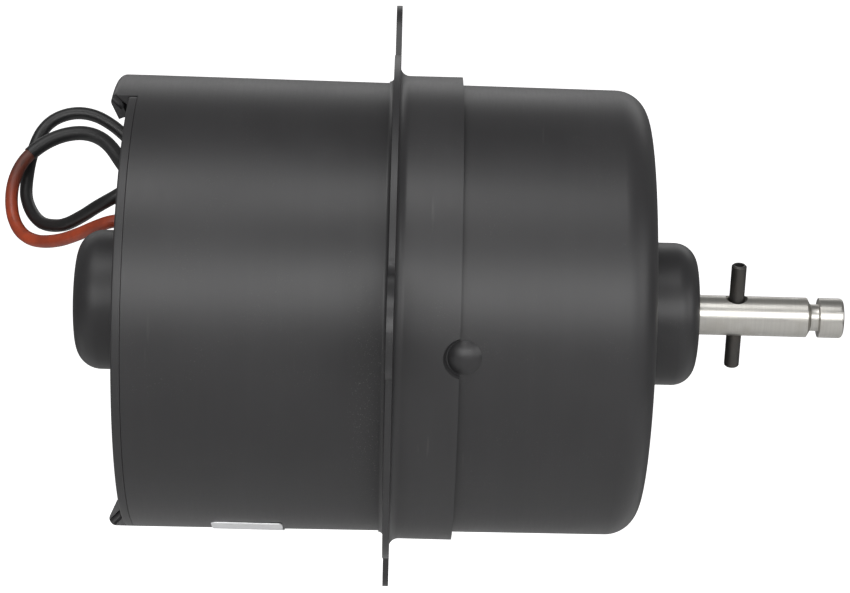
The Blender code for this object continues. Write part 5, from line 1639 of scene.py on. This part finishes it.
@dataclass
class Armature(Benchwork):
    """Laminated core in twelve teeth, its winding and the commutator."""

    slots: int = 12
    radius: float = 0.0312
    tooth: float = 0.0052
    slot_floor: float = 0.01645
    slot_tip: float = 0.0018
    opening: float = 0.0022
    bore: float = 0.00427
    wire: float = 0.00046
    layers: int = 4
    columns: int = 5
    slots_spanned: int = 5
    growth: float = 0.055
    bar_radius: float = 0.0125
    riser_radius: float = 0.0145
    riser_length: float = 0.0020
    bar_floor: float = 0.0082
    hub_radius: float = 0.0113
    bar_gap: float = 0.0007
    coil_steps: int = 18
    coil_start: float = 0.0239
    start_rise: float = 0.0012
    coil_end: float = 0.0179
    end_rise: float = 0.0011
    coil_dip: float = 0.0062
    wire_pitch: float = 0.0011
    layer_rise: float = 0.0006
    slot_clearance: float = 0.0006

    def slot(self, inset: float) -> list[Point2]:
        """Corners of one slot, or of the wires in it when inset."""
        top, low, tooth = self.radius - self.slot_tip - inset, self.slot_floor + inset, self.tooth + 2 * inset
        turn = pi / self.slots
        wide, narrow = (place * sin(turn) - tooth / 2 * cos(turn) for place in (top, low))
        return [(top, -wide), (low, -narrow), (low, narrow), (top, wide)]

    def lamination(self) -> list[Point2]:
        """Outline of the core's sheets with their open slots."""
        half, pitch = self.opening / 2, FULL_TURN / self.slots
        mouth = degrees(atan2(half, self.radius))
        lip, upper = sqrt(self.radius**2 - half**2), self.radius - self.slot_tip
        part = [(lip, -half), (upper, -half), *self.slot(0.0), (upper, half), (lip, half)]
        part += arc((0, 0), self.radius, mouth, pitch - mouth, 10)[1:-1]
        return [point for index in range(self.slots) for point in turned_by(part, pitch * index)]

    def coil(self, height: float) -> list[list[Point3]]:
        """Wires of one coil's head, from one slot round to another, rising off the core along X.

        Args:
            height: how far the lowest layer rises.

        Returns:
            One line of points for each wire.
        """
        sweep = FULL_TURN / self.slots * self.slots_spanned
        lines = []
        for layer in range(self.layers):
            for column in range(self.columns):
                aside = column - (self.columns - 1) / 2
                line = []
                for step in range(self.coil_steps + 1):
                    share = min(max((step - 1) / (self.coil_steps - 2), 0.0), 1.0)
                    round_share = share * share * (3.0 - 2.0 * share)
                    bulge = sin(pi * share)
                    start = self.coil_start + self.start_rise * layer
                    end = self.coil_end + self.end_rise * (self.layers - 1 - layer)
                    reach = start + (end - start) * round_share - self.coil_dip * bulge
                    reach += 0.0005 * aside * bulge
                    across = degrees((self.wire_pitch - 0.0003 * round_share) * aside / reach)
                    y, z = polar(reach, sweep * round_share + across * (1.0 - 0.75 * bulge))
                    rise = (height + self.layer_rise * layer) * bulge**0.55 + 0.0003 * abs(aside) * bulge
                    line.append((rise - (0.004 if step in (0, self.coil_steps) else 0.0), y, z))
                lines.append(line)
        return lines

    def winding(self, copper: Paint) -> Piece:
        """The wires in the slots, both rows of coil heads and the ends that run to the commutator.

        Args:
            copper: the varnished wire's finish.

        Returns:
            The winding.
        """
        front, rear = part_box("front_insulator")[1].x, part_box("rear_insulator")[0].x
        low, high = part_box("armature_winding")
        heads = []
        for face, end, turn in ((front, high.x, Matrix()), (rear, low.x, Matrix.Rotation(pi, 4, "Z"))):
            tallest = 1.0 + self.growth * (self.slots - 1)
            height = (abs(end - face) - 2 * self.wire) / tallest - self.layer_rise * self.layers
            coil = self.drawn("coil", self.coil(height), copper, self.wire, 6)
            head = self.repeated("coil_head", coil, copper, self.slots, 0.0, self.growth)
            heads.append(self.place(head, Matrix.Translation((face, 0, 0)) @ turn))
        bar = self.slab("slot_wires", self.slot(self.slot_clearance), rear, front)
        top = self.radius - self.slot_tip - self.slot_clearance
        rows = [[(rear, top, y * 0.001), (front, top, y * 0.001)] for y in range(-3, 4)]
        rows.append([(rear, 0.0200, 0.0), (low.x + 0.0020, 0.0185, 0.0), (low.x - 0.0010, 0.0165, 0.0),
                     (-0.0215, 0.0142, 0.0), (-0.0225, 0.0140, 0.0)])
        lines = self.drawn("slot_rows", rows, copper, self.wire, 8)
        filled = self.join("slot_filling", copper, bar, lines)
        slots = self.repeated("slot_fillings", filled, copper, self.slots)
        return self.join("wound_coils", copper, *heads, slots)

    def commutator(self) -> list[Piece]:
        """Twelve copper bars with risers, let into a moulded hub.

        Returns:
            The ring of bars and the hub.
        """
        low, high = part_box("commutator")
        step, half = high.x - self.riser_length, self.bar_gap / 2
        side = [(low.x, self.bar_floor), (low.x, self.bar_radius), (step, self.bar_radius)]
        side += [(step, self.riser_radius), (high.x, self.riser_radius), (high.x, self.bar_floor)]
        form, rows = bmesh.new(), []
        for turn in range(7):
            share = turn / 3 - 1.0
            row = []
            for x, reach in side:
                angle = share * (180.0 / self.slots - degrees(half / reach))
                row.append(form.verts.new((x, *polar(reach, angle))))
            rows.append(row)
        form.faces.new(rows[0])
        form.faces.new(rows[-1][::-1])
        for first, second in zip(rows, rows[1:]):
            for index in range(len(side)):
                after = (index + 1) % len(side)
                form.faces.new((first[index], second[index], second[after], first[after]))
        bmesh.ops.recalc_face_normals(form, faces=form.faces)
        bar = self.keep("bar", form, Finish.COPPER.paint)
        y, z = polar(self.riser_radius, 0.0)
        near, far = (step - OVERRUN, y - 0.0008, z - 0.0005), (high.x + OVERRUN, y + OVERRUN, z + 0.0005)
        self.combine(bar, Cut.TAKE, self.block("wire_slot", near, far))
        self.soften(bar, 0.00014, 35.0)
        bars = self.repeated("commutator_bars", bar, Finish.COPPER.paint, self.slots)
        ends = 0.0006
        section = [(low.x + ends, self.bore), (low.x + ends, self.hub_radius)]
        section += [(high.x - ends, self.hub_radius), (high.x - ends, self.bore)]
        hub = self.turned("commutator_hub", eased(section, 0.0003), Finish.MICA.paint, 72)
        return [bars, hub]

    def build(self) -> None:
        """Makes the armature."""
        outline = self.lamination()
        stacks = (
            ("armature_core", "laminated_core", "lamination_steel", Finish.SHEETS.paint),
            ("front_insulator", "front_fibre_sheet", "phenolic_board", Finish.BOARD.paint),
            ("rear_insulator", "rear_fibre_sheet", "phenolic_board", Finish.BOARD.paint),
        )
        for node, name, finish, material in stacks:
            low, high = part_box(node)
            stack = self.slab(name, outline, low.x, high.x, material)
            ends = ((low.x - OVERRUN, 0, 0), (high.x + OVERRUN, 0, 0))
            self.combine(stack, Cut.TAKE, self.rod(*ends, self.bore))
            self.fit(stack, finish, node, body=Body.ROTOR)
        coils = self.winding(Finish.WIRE.paint)
        self.fit(coils, "winding_copper", "armature_winding", body=Body.ROTOR, angle=50.0)
        for piece, finish in zip(self.commutator(), ("commutator_copper", "phenolic_board")):
            self.fit(piece, finish, "commutator", body=Body.ROTOR)
        for node, name, finish, material in (
            ("front_spacer", "front_steel_spacer", "zinc_steel", Finish.ZINC.paint),
            ("rear_spacer", "rear_steel_spacer", "zinc_steel", Finish.ZINC.paint),
            ("front_thrust_washer", "front_nylon_washer", "nylon", Finish.NYLON.paint),
            ("rear_thrust_washer", "rear_nylon_washer", "nylon", Finish.NYLON.paint),
        ):
            section = band(*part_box(node), self.bore)
            self.fit(self.turned(name, eased(section, 0.0002), material, 64), finish, node, body=Body.ROTOR)


@dataclass
class Bearings(Benchwork):
    """Ball-shaped bushes with their retainers and felt wicks, and the thrust pad."""

    ball: float = 0.0080
    bore: float = 0.00427
    chamfer: float = 0.0005
    sheet: float = 0.0007
    finger_count: int = 8
    finger_gap: float = 0.0009

    def bush(self, node: str, bronze: Paint) -> None:
        """One bush, a ball with flat ends and a chamfered bore."""
        low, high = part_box(node)
        middle, half = (low.x + high.x) / 2, (high.x - low.x) / 2
        reach = degrees(atan2(half, sqrt(self.ball**2 - half**2)))
        section = [(middle - half, self.bore + self.chamfer)]
        section += [(middle + y, x) for x, y in arc((0, 0), self.ball, -reach, reach, 20)]
        section += [(middle + half, self.bore + self.chamfer), (middle + half - self.chamfer, self.bore)]
        section += [(middle - half + self.chamfer, self.bore)]
        self.fit(self.turned(f"sintered_{node}", section, bronze, 72), "sintered_bronze", node)

    def retainer(self, node: str, side: int, steel: Paint) -> None:
        """One cup, its disc slit into fingers that press on the ball.

        Args:
            node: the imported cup.
            side: 1 where the rim points forward, -1 where it points back.
            steel: its finish.
        """
        low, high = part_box(node)
        back, rim = (low.x, high.x) if side > 0 else (high.x, low.x)
        near, outer, hole = back + side * self.sheet, high.y, 0.0071
        section = [(back, hole), (back, outer), (rim, outer), (rim, outer - self.sheet)]
        section += [(near, outer - self.sheet), (near, hole)]
        cup = self.turned(f"sprung_{node}", eased(section, 0.00025), steel, 96)
        slit = self.block("slit", (low.x - OVERRUN, hole - OVERRUN, -self.finger_gap / 2),
                           (high.x + OVERRUN, outer - 3.0 * self.sheet, self.finger_gap / 2))
        self.combine(cup, Cut.TAKE, self.repeated("slits", slit, steel, self.finger_count))
        self.soften(cup, 0.00008, 50.0, 1)
        self.fit(cup, "dark_steel", node)

    def build(self) -> None:
        """Makes both bearings."""
        for end, side in (("front", 1), ("rear", -1)):
            self.bush(f"{end}_bearing", Finish.BRONZE.paint)
            self.retainer(f"{end}_bearing_retainer", side, Finish.SPRING.paint)
            section = band(*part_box(f"{end}_oil_wick"), self.ball + SEAT_GAP)
            wick = self.turned(f"{end}_felt_ring", eased(section, 0.0007, 5), Finish.FELT.paint, 96)
            self.fit(wick, "felt", f"{end}_oil_wick", angle=50.0)
        section = band(*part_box("thrust_pad"), 0.0)
        pad = self.turned("nylon_thrust_pad", eased(section, 0.0002), Finish.NYLON.paint, 64)
        self.fit(pad, "nylon", "thrust_pad")


@dataclass
class BrushGear(Benchwork):
    """Card with its rivets, and two brushes in folded boxes, pressed by coil springs."""

    bore: float = 0.0131
    contact: float = 0.0128
    wall: float = 0.0010
    window: Point2 = (0.0044, 0.0150)
    spring_wire: float = 0.0003
    spring_turns: float = 5.0
    travel: float = 0.003

    def rivet(self, node: str, zinc: Paint) -> None:
        """One shouldered rivet with two domed heads."""
        low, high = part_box(node)
        _, y, z = middle_of(node)
        head, shank, shoulder = (high.y - low.y) / 2, 0.0016, 0.0028
        rise = 0.0012
        card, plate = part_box("brush_card"), DISH_INSIDE_X
        dome = [(rise * sin(radians(step)), head * cos(radians(step))) for step in range(0, 91, 15)]
        section = [(low.x + rise - along, reach) for along, reach in reversed(dome)]
        section += [(low.x + rise, shank), (plate + SEAT_GAP, shank), (plate + SEAT_GAP, shoulder)]
        section += [(card[0].x - SEAT_GAP, shoulder), (card[0].x - SEAT_GAP, shank), (high.x - rise, shank)]
        section += [(high.x - rise + along, reach) for along, reach in dome]
        rivet = self.turned(node.replace("card", "domed"), section, zinc, 40)
        self.place(rivet, Matrix.Translation((0.0, y, z)))
        self.fit(rivet, "zinc_steel", node)

    def box(self, node: str, up: int, brass: Paint) -> None:
        """One brush box, folded from sheet, closed at its outer end, with a window in each side.

        Args:
            node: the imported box.
            up: 1 above the shaft, -1 below it.
            brass: its finish.
        """
        low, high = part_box(node)
        holder = self.block(f"folded_{node}", low, high, brass)
        self.soften(holder, 0.0006)
        edge = Vector((self.wall,) * 3)
        inside_low, inside_high = low + edge, high - edge
        if up > 0:
            inside_low.z -= 2 * self.wall
        else:
            inside_high.z += 2 * self.wall
        hollow = self.block("hollow", inside_low, inside_high)
        self.soften(hollow, 0.0003)
        middle, centre = (low + high) / 2, (low.z + high.z) / 2 + up * 0.0035
        wide, tall = self.window
        window = self.block("window", (middle.x - wide / 2, low.y - OVERRUN, centre - tall / 2),
                             (middle.x + wide / 2, high.y + OVERRUN, centre + tall / 2))
        self.soften(window, 0.0012, 40.0, 3)
        self.combine(holder, Cut.TAKE, hollow, window)
        self.soften(holder, 0.00012, 50.0, 1)
        self.fit(holder, "brass_sheet", node)

    def brush(self, node: str, up: int, body: Body, carbon: Paint) -> None:
        """One carbon brush, its face hollowed to the commutator.

        Args:
            node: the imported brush.
            up: 1 above the shaft, -1 below it.
            body: the body that it slides with.
            carbon: its finish.
        """
        low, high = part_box(node)
        dip = self.contact - sqrt(self.contact**2 - ((high.y - low.y) / 2) ** 2)
        if up > 0:
            low.z -= dip
        else:
            high.z += dip
        block = self.block(node.replace("brush", "carbon_brush"), low, high, carbon)
        self.soften(block, 0.0003)
        drum = self.rod((low.x - OVERRUN, 0, 0), (high.x + OVERRUN, 0, 0), self.contact, 160)
        self.combine(block, Cut.TAKE, drum)
        self.fit(block, "carbon", node, body=body)

    def build(self) -> None:
        """Makes the brush gear."""
        for name in CARD_RIVETS:
            self.rivet(name, Finish.ZINC.paint)
        for end, up, body in (("upper", 1, Body.UPPER_BRUSH), ("lower", -1, Body.LOWER_BRUSH)):
            self.box(f"brush_box_{end}", up, Finish.BRASS.paint)
            self.brush(f"brush_{end}", up, body, Finish.CARBON.paint)
            node = f"brush_spring_{end}"
            low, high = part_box(node)
            height = high.z - low.z - 2 * self.spring_wire
            foot = low.z + self.spring_wire if up > 0 else high.z - self.spring_wire
            radius = (high.y - low.y) / 2 - self.spring_wire
            centre, _, _ = middle_of(f"brush_{end}")
            source = self.line([(0.0, 0.0), (0.0, 1.0)])
            spring = coil_tree().shape(
                f"coiled_{node}", source, Finish.SPRING.paint, Turns=self.spring_turns, Coil_Radius=radius,
                Height=height, Wire_Radius=self.spring_wire, Closed_Pitch=2.4 * self.spring_wire,
            )
            turn = Matrix() if up > 0 else Matrix.Rotation(pi, 4, "X")
            self.place(spring, Matrix.Translation((centre, 0.0, foot)) @ turn)
            self.fit(spring, "dark_steel", node, angle=60.0)
            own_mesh(spring)


@dataclass
class Field(Benchwork):
    """The two arc magnets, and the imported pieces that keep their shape."""

    edge: float = 0.0007
    arc_degrees: float = 140.0
    thickness: float = 0.0101

    def build(self) -> None:
        """Makes the magnets and dresses the rest."""
        for node, centre in (("magnet_far", 0.0), ("magnet_near", 180.0)):
            low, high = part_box(node)
            outer, half = max(abs(low.y), abs(high.y)), self.arc_degrees / 2
            outline = arc((0, 0), outer, centre - half, centre + half, 90)
            outline += arc((0, 0), outer - self.thickness, centre + half, centre - half, 90)
            name = node.replace("magnet", "arc_magnet")
            magnet = self.slab(name, outline, low.x, high.x, Finish.FERRITE.paint)
            self.soften(magnet, self.edge, 50.0, 1)
            self.fit(magnet, "ferrite", node)
        dress_node("magnet_clip_upper", Finish.SPRING.paint)
        dress_node("magnet_clip_lower", Finish.SPRING.paint)
        dress_node("brush_card", Finish.BOARD.paint)


@dataclass(frozen=True)
class Softbox:
    """A soft rectangular light aimed at the origin."""

    name: str
    place: Point3
    size: Point2
    power: float

    def hang(self) -> None:
        """Puts the light in the scene."""
        lamp = bpy.data.lights.new(self.name, "AREA")
        lamp.shape = "RECTANGLE"
        lamp.size, lamp.size_y = self.size
        lamp.energy = self.power
        item = bpy.data.objects.new(self.name, lamp)
        item.location = self.place
        item.rotation_euler = (-Vector(self.place)).to_track_quat("-Z", "Y").to_euler()
        bpy.context.scene.collection.objects.link(item)


@dataclass
class Studio(Benchwork):
    """Pale floor and cove all round, soft lights and the camera at the photo's viewing angle."""

    lens: float = 36.0 * (550.0 / 0.2) / 850.0
    camera_place: Point3 = (0.0018, -0.5490, 0.0021)
    roll: float = atan(0.0258)
    shift: float = 22.0 / 850.0
    floor_z: float = -0.1400
    floor_radius: float = 0.36
    wall_radius: float = 2.3
    cove: float = 0.8
    paper_glow: float = 0.90
    sky: float = 0.185
    softboxes: tuple[Softbox, ...] = (
        Softbox("front_softbox", (0.05, -1.3, 0.20), (2.0, 0.56), 15.0),
        Softbox("top_softbox", (-0.26, -0.74, 1.19), (1.0, 0.5), 6.9),
        Softbox("rear_softbox", (0.0, 1.10, 0.90), (1.8, 0.5), 3.2),
        Softbox("side_softbox", (1.15, -0.60, 0.22), (0.7, 0.6), 3.6),
    )

    def paper(self) -> Paint:
        """Matt white paper that glows far from the object.

        Returns:
            The material.
        """
        wiring = Recipe("studio_paper", 0.85)
        x, y, _ = wiring.along()
        away = (x * x + y * y) ** 0.5
        glow = wiring.tint(away.ramp(self.floor_radius, 0.80), (0.0, 0.0, 0.0), (1.0, 1.0, 1.0))
        wiring.relief((wiring.noise(300.0, 2.0), 0.00002))
        white = (0.93, 0.93, 0.93)
        return wiring.dress(base_color=white, emission_color=glow, emission_strength=self.paper_glow)

    def ring_sheet(self, name: str, profile: Sequence[Point2], paper: Paint) -> Piece:
        """A sheet of rings round the Z axis.

        Args:
            name: the sheet's name.
            profile: its rings as (radius, height).
            paper: its finish.

        Returns:
            The sheet, which belongs to the stage.
        """
        form = bmesh.new()
        steps = 120
        rows = [
            [form.verts.new((*polar(reach, FULL_TURN * step / steps), z)) for step in range(steps)]
            for reach, z in profile
        ]
        for first, second in zip(rows, rows[1:]):
            for step in range(steps):
                after = (step + 1) % steps
                form.faces.new((first[step], first[after], second[after], second[step]))
        if profile[0][0] < 0.2:
            form.faces.new(rows[0])
        bmesh.ops.recalc_face_normals(form, faces=form.faces)
        sheet = self.keep(name, form, paper)
        sheet.data.polygons.foreach_set("use_smooth", [True] * len(sheet.data.polygons))
        return sheet

    def backdrop(self) -> None:
        """The floor under the object, and the far floor and wall that only the camera sees."""
        paper = self.paper()
        self.ring_sheet("studio_floor", [(0.1, self.floor_z), (self.floor_radius, self.floor_z)], paper)
        foot = self.wall_radius - self.cove
        profile = [(self.floor_radius, self.floor_z), (0.6, self.floor_z), (foot, self.floor_z)]
        profile += arc((foot, self.floor_z + self.cove), self.cove, -90, 0, 16)[1:]
        profile += [(self.wall_radius, 3.4)]
        far = self.ring_sheet("studio_cove", profile, paper)
        far.visible_diffuse = far.visible_glossy = far.visible_shadow = False

    def build(self) -> None:
        """Sets up the whole studio."""
        self.backdrop()
        world = bpy.data.worlds.new("studio_sky")
        world.use_nodes = True
        world.node_tree.nodes["Background"].inputs["Color"].default_value = (1.0, 1.0, 1.0, 1.0)
        world.node_tree.nodes["Background"].inputs["Strength"].default_value = self.sky
        bpy.context.scene.world = world
        bpy.context.scene.view_settings.view_transform = "Standard"
        for softbox in self.softboxes:
            softbox.hang()
        lens = bpy.data.cameras.new("photo_camera")
        lens.lens = self.lens
        lens.sensor_width = 36.0
        lens.shift_x = self.shift
        lens.clip_start = 0.01
        camera = bpy.data.objects.new("photo_camera", lens)
        camera.location = self.camera_place
        camera.rotation_euler = (pi / 2, -self.roll, 0.0)
        bpy.context.scene.collection.objects.link(camera)
        bpy.context.scene.camera = camera


def main() -> None:
    """Builds every sub-assembly in order."""
    logging.basicConfig(level=logging.INFO, format="%(message)s")
    for old in [item for item in bpy.data.objects if item.type in {"CAMERA", "LIGHT"} or item.name == "Cube"]:
        bpy.data.objects.remove(old)
    can = CanShell()
    sub_assemblies = (
        Studio(), can, EndPlate(can), Collar(can), Label(can), ShaftAndPin(), LeadSet(Plug()),
        Armature(), Bearings(), BrushGear(), Field(),
    )
    for part in sub_assemblies:
        part.build()


if __name__ == "__main__":
    main()
